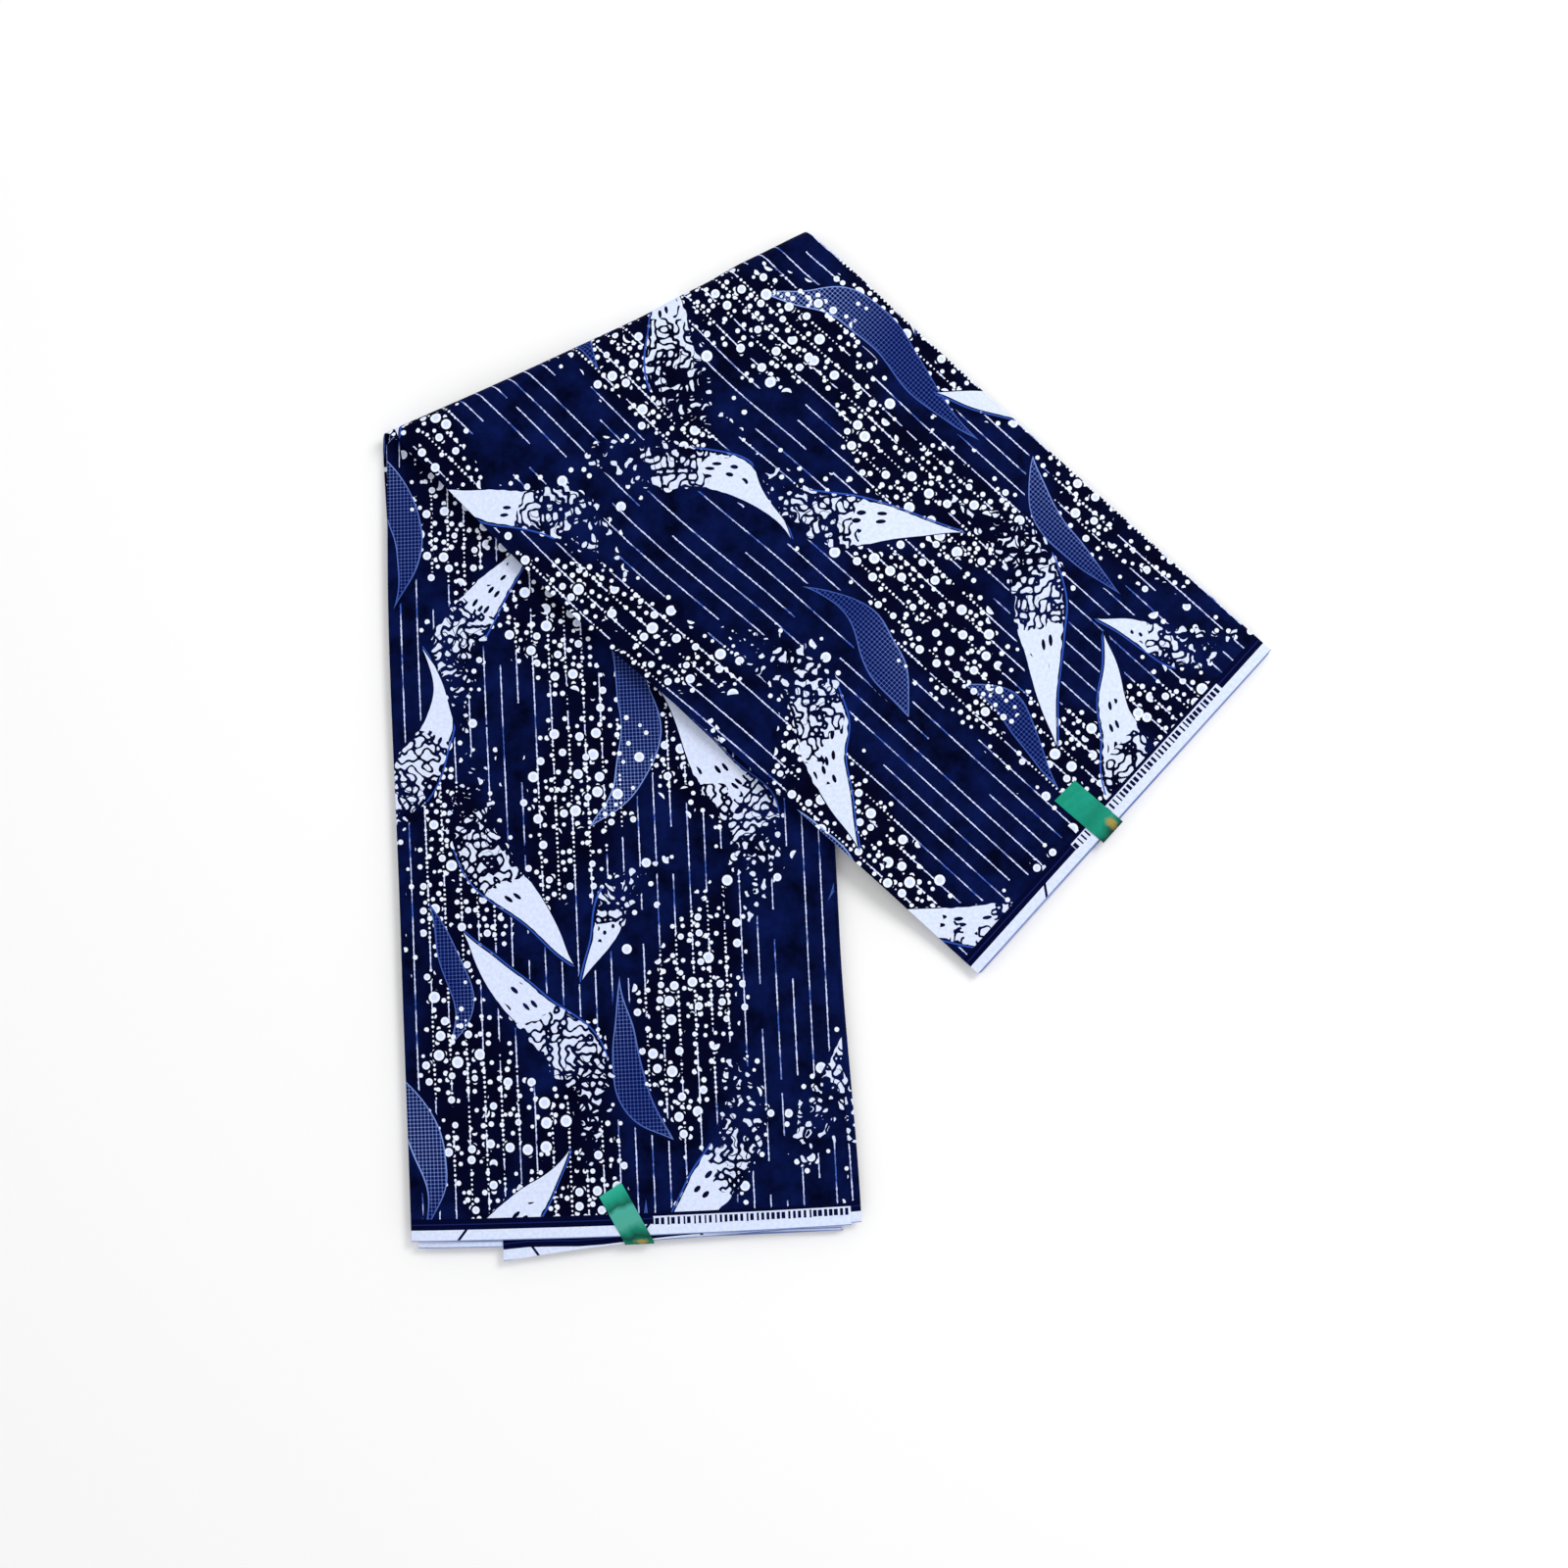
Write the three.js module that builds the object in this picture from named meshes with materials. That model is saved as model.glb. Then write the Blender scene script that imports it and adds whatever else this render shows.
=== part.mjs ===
// Folded ankara cloth: one length of wax-print cotton, pleated back and forth into a long strip,
// then folded once over a slanted line, so that its two legs lie like an open pair of compasses.
//
// Strip frame, in millimetres: u runs across the strip from its left edge, s runs along it from the
// left leg's hem, and w is the height above the floor while the strip is still flat.
import * as THREE from "three";

const DEGREE = Math.PI / 180;

// Driving sizes
const STRIP_WIDTH = 308; // one panel of the pleated cloth, crease to crease
const STRIP_LENGTH = 1160; // selvedge to selvedge, the width in which the cloth is woven
const SHEET = 1.0; // thickness of one layer, each standing for three of the real thin ones
const LAYER_GAP = 0.5; // air between two layers
const LEAN = 2.6; // degrees that the left leg leans to the left

// The slanted fold: its line crosses the strip's left edge at FOLD_ALONG
const FOLD_ALONG = 581.3;
const FOLD_ANGLE = 22.5; // degrees from straight across the strip
const LEG_GAP = 2.0; // air between the two legs where one lies on the other
const ROLL_STEPS = 12;

// How full the rolled edge stands along the fold, as a share of a round roll
const FULLNESS = [
  { across: 0, share: 0.75 },
  { across: 80, share: 0.66 },
  { across: 175, share: 0.7 },
  { across: 225, share: 1.0 },
  { across: 265, share: 1.35 },
  { across: 308, share: 1.5 },
];

// Past the left leg's right edge the upper leg sinks to the floor between these distances
const SINK = { from: 14, to: 84, steps: 8 };

// The strip's edges, in the order in which the cloth runs through them: a cut end, five creases and
// the other cut end. The columns from leftHem to rightHem say how far each stands out past the
// panel's edge, at the places in STATIONS. pastLeft and pastRight say how far the edge's end stands
// out past the left leg's hem line and the right leg's.
const STATIONS = {
  leftHem: 0,
  leftLow: 200,
  leftHigh: 430,
  fold: 590,
  rightHigh: 790,
  rightMid: 960,
  rightHem: 1160,
};
const EDGES = [
  {
    side: "left", leftHem: -64, leftLow: -52, leftHigh: -40, fold: -36,
    rightHigh: -44, rightMid: -50, rightHem: -56, pastLeft: 16, pastRight: -6,
  },
  {
    side: "right", leftHem: -0.6, leftLow: -1.6, leftHigh: -2.0, fold: -2.6,
    rightHigh: -3.0, rightMid: -3.4, rightHem: -3.6, pastLeft: 2.5, pastRight: 1.0,
  },
  {
    side: "left", leftHem: 0, leftLow: 1.0, leftHigh: 3.2, fold: 0.2,
    rightHigh: 3.0, rightMid: 2.2, rightHem: 3.4, pastLeft: 0, pastRight: 2.4,
  },
  {
    side: "right", leftHem: 6.3, leftLow: 0.8, leftHigh: -1.0, fold: -2.4,
    rightHigh: -2.0, rightMid: -2.6, rightHem: -3.4, pastLeft: 7.2, pastRight: 2.6,
  },
  {
    side: "left", leftHem: -1.5, leftLow: 0.2, leftHigh: 2.2, fold: 0.8,
    rightHigh: 6.5, rightMid: 4.2, rightHem: 5.2, pastLeft: 4.6, pastRight: 2.2,
  },
  {
    side: "right", leftHem: 4.2, leftLow: 0.2, leftHigh: -1.6, fold: -3.4,
    rightHigh: 0, rightMid: -1.3, rightHem: -2.3, pastLeft: 6.4, pastRight: 1.6,
  },
  {
    side: "left", leftHem: -2.5, leftLow: -0.5, leftHigh: 1.5, fold: 4.8,
    rightHigh: 13.0, rightMid: 8.0, rightHem: 6.8, pastLeft: 5.2, pastRight: 1.4,
  },
];

// The layers between those edges. level counts up from the floor in the left leg. midLeft and
// midRight are how far the middle of the layer's hem stands out past each hem line.
const LAYERS = [
  { level: 4, midLeft: 3.0, midRight: -2.0 },
  { level: 5, midLeft: 1.0, midRight: 1.2 },
  { level: 3, midLeft: 6.6, midRight: 2.6 },
  { level: 2, midLeft: 7.4, midRight: 3.0 },
  { level: 1, midLeft: 6.0, midRight: 2.0 },
  { level: 0, midLeft: 7.0, midRight: 1.2 },
];
const HEM_REACH = 150; // how far from a hem line its unevenness fades out

const CREASE_STEPS = 5; // facets around each crease
const PANEL_STEPS = 4; // facets across each layer

// Foil labels: each is a strip laid on the top layer and bent down over the hem. across is where its
// middle crosses the hem line, and slant is how far it moves across for each millimetre from there.
// onLeft and onRight are the lengths of its two long edges above the hem line, and past is how far
// it stands out over the hems below.
const FOIL = { thick: 0.5, wide: 20.6, lift: 0.3, lip: 2.4 };
const LABELS = [
  {
    name: "hem_label_left", leg: "left", across: 154.5, slant: -0.51,
    onLeft: 23.4, onRight: 32.7, past: 9.2,
  },
  {
    name: "hem_label_right", leg: "right", across: 131.6, slant: -0.02,
    onLeft: 40.8, onRight: 39.8, past: 3.6,
  },
];

const PITCH = SHEET + LAYER_GAP;
const STACK = LAYERS.length * PITCH - LAYER_GAP;
const ROLL_RADIUS = STACK + LEG_GAP / 2;
const UPPER_FLOOR = STACK + LEG_GAP;
const ROLL_REACH = Math.PI * ROLL_RADIUS;

const { lerp, smoothstep } = THREE.MathUtils;

// A smooth value from a table whose rows are sorted by the key's column.
function fromTable(rows, key, value, at) {
  const after = rows.findIndex((row) => row[key] >= at);
  if (after === -1) return rows[rows.length - 1][value];
  if (after === 0) return rows[0][value];
  const [low, high] = [rows[after - 1], rows[after]];
  return lerp(low[value], high[value], smoothstep(at, low[key], high[key]));
}

// Where an edge of the strip lies across, at a place along the strip.
function edgeAcross(edge, along) {
  const rows = Object.entries(STATIONS).map(([name, at]) => ({ at, out: edge[name] }));
  const out = fromTable(rows, "at", "out", along);
  return edge.side === "right" ? STRIP_WIDTH + out : -out;
}

// From the flat strip to the folded one. The fold's own frame has its p axis along the fold line and
// its q axis across it. The roll wraps round the axis line, which lies half the roll's reach short
// of the fold line.
function place(across, along, height) {
  const turn = FOLD_ANGLE * DEGREE;
  const rise = along - FOLD_ALONG;
  const p = across * Math.cos(turn) + rise * Math.sin(turn);
  const q = rise * Math.cos(turn) - across * Math.sin(turn) + ROLL_REACH / 2;
  const angle = THREE.MathUtils.clamp(q, 0, ROLL_REACH) / ROLL_RADIUS;
  const flatQ = q <= 0 ? q : Math.min(0, ROLL_REACH - q);
  const share = fromTable(FULLNESS, "across", "share", p * Math.cos(turn));
  const foldedQ = flatQ + share * (ROLL_RADIUS - height) * Math.sin(angle) - ROLL_REACH / 2;
  const u = p * Math.cos(turn) - foldedQ * Math.sin(turn);
  const s = p * Math.sin(turn) + foldedQ * Math.cos(turn) + FOLD_ALONG;
  const over = (1 - Math.cos(angle)) / 2;
  const beyond = u - STRIP_WIDTH;
  const base = UPPER_FLOOR * (1 - smoothstep(beyond, SINK.from, SINK.to));
  const z = lerp(height, base + STACK - height, over);
  const lean = LEAN * DEGREE;
  return [
    u * Math.cos(lean) - s * Math.sin(lean),
    u * Math.sin(lean) + s * Math.cos(lean),
    z,
  ];
}

// The strip's rows, each a straight line across the flat strip from its left edge to its right one.
function stripRows() {
  const turn = FOLD_ANGLE * DEGREE;
  const slope = STRIP_WIDTH * Math.tan(turn);
  const foldRow = (q) => {
    const left = FOLD_ALONG + q / Math.cos(turn);
    return { left, right: left + slope };
  };
  const sinkRow = (beyond) => {
    const left = FOLD_ALONG + (STRIP_WIDTH + beyond) / Math.sin(2 * turn);
    return { left, right: left - STRIP_WIDTH / Math.tan(2 * turn) };
  };
  const between = (from, to, share) => ({
    left: lerp(from.left, to.left, share),
    right: lerp(from.right, to.right, share),
  });
  const hems = [{ left: 0, right: 0 }, { left: STRIP_LENGTH, right: STRIP_LENGTH }];
  const rows = [];
  for (const share of [0, 0.03, 0.08, 0.16, 0.27, 0.4, 0.55, 0.7, 0.85]) {
    rows.push(between(hems[0], foldRow(-ROLL_REACH / 2), share));
  }
  for (let step = 0; step <= ROLL_STEPS; step += 1) {
    rows.push(foldRow(ROLL_REACH * (step / ROLL_STEPS - 0.5)));
  }
  for (const share of [0.2, 0.4, 0.6, 0.8]) {
    rows.push(between(foldRow(ROLL_REACH / 2), sinkRow(SINK.from), share));
  }
  for (let step = 0; step <= SINK.steps; step += 1) {
    rows.push(sinkRow(lerp(SINK.from, SINK.to, step / SINK.steps)));
  }
  for (const share of [0.25, 0.5, 0.75, 0.9]) {
    rows.push(between(sinkRow(SINK.to), hems[1], share));
  }
  return [...rows, hems[1]];
}

// How far a hem stands out, on a curve through the values at a layer's start, middle and end.
function hemCurve(start, middle, end, share) {
  const bow = middle - (start + end) / 2;
  return lerp(start, end, share) + 4 * bow * share * (1 - share);
}

// One face of the pleated sheet in one row: side +1 is the face on the left of the way it runs.
function sheetFace(row, side) {
  const points = [];
  const half = SHEET / 2;
  const add = (across, height, pastLeft, pastRight) => {
    const along = lerp(row.left, row.right, across / STRIP_WIDTH);
    const nearLeft = Math.max(0, 1 - along / HEM_REACH);
    const nearRight = Math.max(0, 1 - (STRIP_LENGTH - along) / HEM_REACH);
    points.push(place(across, along - pastLeft * nearLeft + pastRight * nearRight, height));
  };
  const apex = (edge) => edgeAcross(edge, edge.side === "right" ? row.right : row.left);
  const crease = (index) => {
    const [before, after] = [LAYERS[index - 1], LAYERS[index]];
    if (!before || !after) return null;
    const radius = (Math.abs(after.level - before.level) * PITCH) / 2;
    const out = EDGES[index].side === "right" ? 1 : -1;
    return {
      radius,
      out,
      climb: Math.sign(after.level - before.level),
      middle: ((before.level + after.level) * PITCH) / 2 + half,
      centre: apex(EDGES[index]) - out * (radius + half),
    };
  };
  LAYERS.forEach((layer, index) => {
    const [start, end] = [EDGES[index], EDGES[index + 1]];
    const [from, to] = [crease(index), crease(index + 1)];
    const fromAcross = from ? from.centre : apex(start);
    const toAcross = to ? to.centre : apex(end);
    const heading = end.side === "right" ? 1 : -1;
    const height = layer.level * PITCH + half + side * heading * half;
    for (let step = 0; step <= PANEL_STEPS; step += 1) {
      const share = step / PANEL_STEPS;
      add(
        lerp(fromAcross, toAcross, share),
        height,
        hemCurve(start.pastLeft, layer.midLeft, end.pastLeft, share),
        hemCurve(start.pastRight, layer.midRight, end.pastRight, share),
      );
    }
    if (!to) return;
    const reach = to.radius - to.out * to.climb * side * half;
    for (let step = 1; step < CREASE_STEPS; step += 1) {
      const angle = (Math.PI * step) / CREASE_STEPS;
      add(
        to.centre + to.out * reach * Math.sin(angle),
        to.middle - to.climb * reach * Math.cos(angle),
        end.pastLeft,
        end.pastRight,
      );
    }
  });
  return points;
}

// A closed body swept through rows that all have the same number of points on their closed outline.
// The first half of an outline and the second half reversed face each other, and close the ends.
function sweptBody(outlines) {
  const around = outlines[0].length;
  const faces = [];
  const quad = (a, b, c, d) => faces.push(a, b, c, a, c, d);
  for (let row = 0; row + 1 < outlines.length; row += 1) {
    for (let point = 0; point < around; point += 1) {
      const next = (point + 1) % around;
      const [low, high] = [row * around, (row + 1) * around];
      quad(low + point, low + next, high + next, high + point);
    }
  }
  const last = (outlines.length - 1) * around;
  for (let point = 0; point + 1 < around / 2; point += 1) {
    const facing = around - 1 - point;
    quad(point, facing, facing - 1, point + 1);
    quad(last + point, last + point + 1, last + facing - 1, last + facing);
  }
  const geometry = new THREE.BufferGeometry();
  geometry.setAttribute("position", new THREE.Float32BufferAttribute(outlines.flat(2), 3));
  geometry.setIndex(faces);
  geometry.computeVertexNormals();
  return geometry;
}

function clothBody() {
  return sweptBody(
    stripRows().map((row) => [...sheetFace(row, 1), ...sheetFace(row, -1).reverse()]),
  );
}

// A foil label, swept from its left edge to its right one. Each edge is an outline that runs from
// the label's upper end down over the hem, and back up on the face that lies on the cloth.
function labelBody({ leg, across, slant, onLeft, onRight, past }) {
  const onLeftLeg = leg === "left";
  const up = onLeftLeg ? 1 : -1;
  const top = onLeftLeg ? STACK : 0;
  const hem = onLeftLeg ? 0 : STRIP_LENGTH;
  const outer = FOIL.lift + FOIL.thick;
  const tip = -past - FOIL.thick;
  const outline = (right) => {
    const flat = [1, 0.75, 0.5, 0.25].map((share) => lerp(-past, lerp(onLeft, onRight, right), share));
    const face = [...flat.map((inward) => [inward, outer]), [tip, outer], [tip, -FOIL.lip]];
    const back = [...flat.map((inward) => [inward, FOIL.lift]), [-past, FOIL.lift], [-past, -FOIL.lip]];
    return [...face, ...back.reverse()].map(([inward, lift]) => {
      const middle = across + slant * Math.max(inward, -past);
      return place(middle + (right - 0.5) * FOIL.wide, hem + up * inward, top + up * lift);
    });
  };
  return sweptBody([0, 0.5, 1].map(outline));
}

function named(name, geometry, material) {
  const mesh = new THREE.Mesh(geometry, material);
  mesh.name = name;
  return mesh;
}

const waxPrint = new THREE.MeshStandardMaterial({ color: 0x1a2558, roughness: 0.72, metalness: 0 });
const greenFoil = new THREE.MeshStandardMaterial({ color: 0x1f8a6a, roughness: 0.3, metalness: 0.6 });

const fabric = new THREE.Group();
fabric.add(named("cloth", clothBody(), waxPrint));
for (const label of LABELS) {
  fabric.add(named(label.name, labelBody(label), greenFoil));
}

// The origin is on the floor, under the middle of the cloth's outline.
const box = new THREE.Box3().setFromObject(fabric);
const middle = box.getCenter(new THREE.Vector3());
fabric.position.set(-middle.x, -middle.y, 0);

export default fabric;
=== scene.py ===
# %% [markdown]
# # A folded length of wax-print cotton
#
# The real object is one length of cotton, 5.486 m long and woven 1.160 m wide. It is pleated back
# and forth into a strip of 18 layers, and the strip is folded once over a slanted line, so that its
# two legs lie like an open pair of compasses. Two foil labels are stuck over the hems.
#
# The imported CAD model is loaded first. It gives the frame, in metres, in which everything is made.

# %% Load the frame
import math

import bpy
import numpy as np
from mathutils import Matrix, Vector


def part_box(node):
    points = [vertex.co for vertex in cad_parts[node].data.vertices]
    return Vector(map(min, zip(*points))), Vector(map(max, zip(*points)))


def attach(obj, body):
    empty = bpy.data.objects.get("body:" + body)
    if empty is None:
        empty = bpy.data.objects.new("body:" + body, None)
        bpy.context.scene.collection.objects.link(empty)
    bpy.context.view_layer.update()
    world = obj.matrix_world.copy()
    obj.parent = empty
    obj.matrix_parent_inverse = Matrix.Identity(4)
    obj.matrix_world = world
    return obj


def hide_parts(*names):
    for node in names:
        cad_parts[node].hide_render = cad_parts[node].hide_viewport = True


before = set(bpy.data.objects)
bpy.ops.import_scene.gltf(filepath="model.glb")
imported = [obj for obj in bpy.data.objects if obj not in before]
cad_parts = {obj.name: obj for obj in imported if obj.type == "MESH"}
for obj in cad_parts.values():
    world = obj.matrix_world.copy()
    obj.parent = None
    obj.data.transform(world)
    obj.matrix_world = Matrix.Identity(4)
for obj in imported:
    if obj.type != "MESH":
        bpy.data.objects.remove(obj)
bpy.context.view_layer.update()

cloth_low, cloth_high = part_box("cloth")

# %% [markdown]
# ## Helpers
#
# Colours are picked as sRGB hex values, as in a paint program, but a shader works with linear
# light, so one function turns them. A second small function adds a node, sets it up and links it.
# An input may be given as a number, as a socket, or as a node, whose first working output is taken.

# %% Colour and node helpers
def linear(hex_value):
    channels = [int(hex_value[at : at + 2], 16) / 255 for at in (1, 3, 5)]
    curve = [c / 12.92 if c <= 0.04045 else ((c + 0.055) / 1.055) ** 2.4 for c in channels]
    return (*curve, 1.0)


print("mid grey is", round(linear("#808080")[0], 3), "in linear light")


def add_node(tree, kind, inputs=None, **settings):
    node = tree.nodes.new(kind)
    for name, value in settings.items():
        setattr(node, name, value)
    for socket, value in (inputs or {}).items():
        if isinstance(value, bpy.types.Node):
            value = next(output for output in value.outputs if output.enabled)
        if isinstance(value, bpy.types.NodeSocket):
            tree.links.new(value, node.inputs[socket])
        else:
            node.inputs[socket].default_value = value
    return node


def new_material(name):
    material = bpy.data.materials.new(name)
    material.use_nodes = True
    return material, material.node_tree, material.node_tree.nodes["Principled BSDF"]


MATH, VECTOR, MIX = "ShaderNodeMath", "ShaderNodeVectorMath", "ShaderNodeMix"
RANGE, NOISE, CELLS = "ShaderNodeMapRange", "ShaderNodeTexNoise", "ShaderNodeTexVoronoi"
SPLIT, JOIN = "ShaderNodeSeparateXYZ", "ShaderNodeCombineXYZ"

# %% [markdown]
# ## Camera, floor and light
#
# The photograph was taken from almost straight above. Its picture widths fit a 50 mm lens about
# 1.55 m up, tilted 5 degrees. The floor and the surroundings are plain and nearly white. A large
# soft lamp at the upper right gives the faint shadows to the left of the cloth and below it.

# %% Camera
CAMERA_PLACE = (-0.02887, -0.16867, 1.55008)
CAMERA_TILT = math.radians(5)

bpy.ops.object.select_all(action="DESELECT")
bpy.ops.object.camera_add(location=CAMERA_PLACE, rotation=(CAMERA_TILT, 0, 0))
camera = bpy.context.object
camera.name = "camera"
camera.data.lens = 50
camera.data.sensor_width = 36
bpy.context.scene.camera = camera
bpy.context.scene.view_settings.view_transform = "Standard"
print("camera", round(camera.location.z, 2), "m above the floor")

# %% Floor and light
bpy.ops.mesh.primitive_plane_add(size=24, location=(0, 0, -0.0004))
floor = bpy.context.object
floor.name = "floor"
floor_paper, tree, shader = new_material("matt_white_backdrop_paper")
shader.inputs["Base Color"].default_value = linear("#f6f6f6")
shader.inputs["Roughness"].default_value = 0.95
shader.inputs["Specular IOR Level"].default_value = 0.1
floor.data.materials.append(floor_paper)

world = bpy.data.worlds.new("white_studio")
world.use_nodes = True
world.node_tree.nodes["Background"].inputs["Color"].default_value = linear("#ffffff")
world.node_tree.nodes["Background"].inputs["Strength"].default_value = 0.83
bpy.context.scene.world = world

bpy.ops.object.light_add(type="AREA", location=(1.1, 1.0, 1.9))
key_lamp = bpy.context.object
key_lamp.name = "key_lamp"
key_lamp.data.shape = "SQUARE"
key_lamp.data.size = 0.9
key_lamp.data.energy = 25
away_from_cloth = key_lamp.location.normalized()
key_lamp.rotation_euler = away_from_cloth.to_track_quat("Z", "Y").to_euler()
print("key lamp", round(key_lamp.location.length, 2), "m from the cloth")

# %% [markdown]
# ## Sizes of the folded cloth
#
# Lengths are in millimetres, in the strip's own frame: across runs from the strip's left edge,
# along runs from the left leg's hem, and height is measured up from the floor while the strip is
# still flat. They are the sizes that the CAD part is made from, so the fine cloth lies exactly
# where the part's six thick layers lie. Here all 18 real layers are made, each 0.35 mm thick.
# FULLNESS says how far the fold swells out at six places across it, as a share of a round roll.

# %% Sizes
MM = 0.001
CLOTH_LENGTH = 5486
PANELS = 18
SHEET = 0.35
STACK = 8.5
STRIP_WIDTH = 308
STRIP_LENGTH = 1160
LEAN = math.radians(2.6)
FOLD_ALONG = 581.3
FOLD_ANGLE = math.radians(22.5)
LEG_GAP = 2.0
SINK_FROM, SINK_TO = 14, 84
HEM_REACH, TUCK_REACH = 150, 400
UNEVEN_SHARE = 0.04

PITCH = (STACK - SHEET) / (PANELS - 1)
ROLL_RADIUS = STACK + LEG_GAP / 2
ROLL_REACH = math.pi * ROLL_RADIUS
UPPER_FLOOR = STACK + LEG_GAP

FULLNESS_ACROSS = np.array([0, 80, 175, 225, 265, 308])
FULLNESS = np.array([0.75, 0.66, 0.7, 1.0, 1.35, 1.5])
print("layer pitch", round(PITCH, 3), "mm, so", round(PITCH - SHEET, 3), "mm of air between layers")

# %% [markdown]
# ## The edges of the strip
#
# A hand-folded strip has uneven edges. Each row below is one edge that shows: how far it stands out
# past the panel at seven places along the strip, then how far its two ends stand past the hems.
# The edges between them are hidden in the stack and get small seeded offsets from these. A hem is
# a slack curve, so a second table says how far its middle stands out in the left and right leg.

# %% Edge and layer tables
STATIONS = np.array([0, 200, 430, 590, 790, 960, 1160])
SEEN_EDGES = {
    0: ((-64, -52, -40, -36, -44, -50, -56), 18.0, -6),
    1: ((-0.6, -1.6, -2.0, -2.6, -3.0, -3.4, -3.6), 4.0, 1.0),
    2: ((0, 1.0, 3.2, 0.2, 3.0, 2.2, 3.4), 1.7, 2.4),
    3: ((6.6, 0.8, -1.0, -2.4, -2.0, -2.6, -3.4), 2.4, 2.6),
    4: ((-4.5, 0.2, 2.2, 0.8, 6.5, 4.2, 5.2), 6.6, 2.2),
    17: ((-6.5, 0.2, -1.6, -3.4, 0, -1.3, -2.3), 8.2, 1.6),
    18: ((-4.0, -0.5, 1.5, 4.8, 13.0, 8.0, 6.8), 5.8, 1.4),
}
SEEN_HEM_MIDDLES = {
    0: (7.0, -2.0), 1: (4.6, 1.2), 2: (6.2, 2.6), 3: (8.6, 0.4), 17: (8.0, 1.2),
}

chance = np.random.default_rng(18)
edges = []
for index in range(PANELS + 1):
    if index in SEEN_EDGES:
        out, past_left, past_right = SEEN_EDGES[index]
    else:
        out, past_left, past_right = SEEN_EDGES[17 if index % 2 else 4]
        out = np.array(out) - chance.uniform(0.2, 2.2, len(STATIONS))
        past_left = past_left - chance.uniform(0, 4.0)
        past_right = past_right - chance.uniform(0, 4.2)
    edges.append({"right": index % 2 == 1, "out": np.array(out), "past": (past_left, past_right)})

hem_middles = [
    SEEN_HEM_MIDDLES.get(index, (chance.uniform(4.2, 7.6), chance.uniform(-2.6, 1.8)))
    for index in range(PANELS)
]
levels = [PANELS - 2, PANELS - 1] + [PANELS - 1 - index for index in range(2, PANELS)]
print("levels in the left leg", levels)

# %% [markdown]
# ## The fold as a function
#
# A folded strip could be simulated, but a simulation slides and never lands on the photograph's
# outline. Instead one function says where each point of the flat strip goes: it rolls round an
# axis under the slanted fold, comes back on top, and sinks to the floor past the lower leg's edge.
# A slow, seeded unevenness then lifts and lowers the whole stack a little, all layers together, so
# that they can't cut through each other. In the function p and q run along and across the fold, and
# u and s are where a point then lies across and along the strip.

# %% The fold
def smooth(share):
    share = np.clip(share, 0, 1)
    return share * share * (3 - 2 * share)


def from_table(at, keys, values):
    at = np.clip(at, keys[0], keys[-1])
    low = np.clip(np.searchsorted(keys, at) - 1, 0, len(keys) - 2)
    share = smooth((at - keys[low]) / (keys[low + 1] - keys[low]))
    return values[low] * (1 - share) + values[low + 1] * share


def fold_over(across, along, height):
    rise = along - FOLD_ALONG
    p = across * math.cos(FOLD_ANGLE) + rise * math.sin(FOLD_ANGLE)
    q = rise * math.cos(FOLD_ANGLE) - across * math.sin(FOLD_ANGLE) + ROLL_REACH / 2
    angle = np.clip(q, 0, ROLL_REACH) / ROLL_RADIUS
    flat_q = np.where(q <= 0, q, np.minimum(0, ROLL_REACH - q))
    share = from_table(p * math.cos(FOLD_ANGLE), FULLNESS_ACROSS, FULLNESS)
    folded_q = flat_q + share * (ROLL_RADIUS - height) * np.sin(angle) - ROLL_REACH / 2
    u = p * math.cos(FOLD_ANGLE) - folded_q * math.sin(FOLD_ANGLE)
    s = p * math.sin(FOLD_ANGLE) + folded_q * math.cos(FOLD_ANGLE) + FOLD_ALONG
    over = (1 - np.cos(angle)) / 2
    base = UPPER_FLOOR * (1 - smooth((u - STRIP_WIDTH - SINK_FROM) / (SINK_TO - SINK_FROM)))
    z = height * (1 - over) + (base + STACK - height) * over
    x = u * math.cos(LEAN) - s * math.sin(LEAN)
    y = u * math.sin(LEAN) + s * math.cos(LEAN)
    return x, y, z


print("the fold takes up", round(ROLL_REACH, 1), "mm of the strip")

# %% Slow unevenness
waves = np.random.default_rng(5)
WAVE_COUNT = 14
WAVE_LENGTHS = waves.uniform(130, 280, WAVE_COUNT)
WAVE_HEADINGS = waves.uniform(0, math.pi, WAVE_COUNT)
WAVE_STARTS = waves.uniform(0, 2 * math.pi, WAVE_COUNT)


def unevenness(x, y):
    total = np.zeros_like(x)
    for length, heading, start in zip(WAVE_LENGTHS, WAVE_HEADINGS, WAVE_STARTS):
        way = x * math.cos(heading) + y * math.sin(heading)
        total += np.sin(way * 2 * math.pi / length + start)
    return total / math.sqrt(WAVE_COUNT)


def settle(across, along, height):
    x, y, z = fold_over(across, along, height)
    return np.stack([x, y, z * (1 + UNEVEN_SHARE * unevenness(x, y))], axis=-1)


roll_outside, roll_inside = (settle(0.0, FOLD_ALONG, height) for height in (0.0, STACK))
roll_depth = float(np.linalg.norm(roll_outside - roll_inside))
print("at its left end the roll's outer side lies", round(roll_depth, 1), "mm past its inner side")

# %% [markdown]
# ## Rows and columns of the sheet
#
# The sheet is a grid. A row runs across the strip through all 18 layers and 17 creases, and turns
# gradually from the square hem to the slant of the fold. The two panels that show get many columns,
# and the hidden ones only a few, which keeps the mesh below 200,000 triangles.

# %% Rows
def between(start, end, shares):
    start, end = np.array(start), np.array(end)
    return [tuple(start + (end - start) * share) for share in shares]


def fold_row(q):
    left = FOLD_ALONG + q / math.cos(FOLD_ANGLE)
    return left, left + STRIP_WIDTH * math.tan(FOLD_ANGLE)


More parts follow.
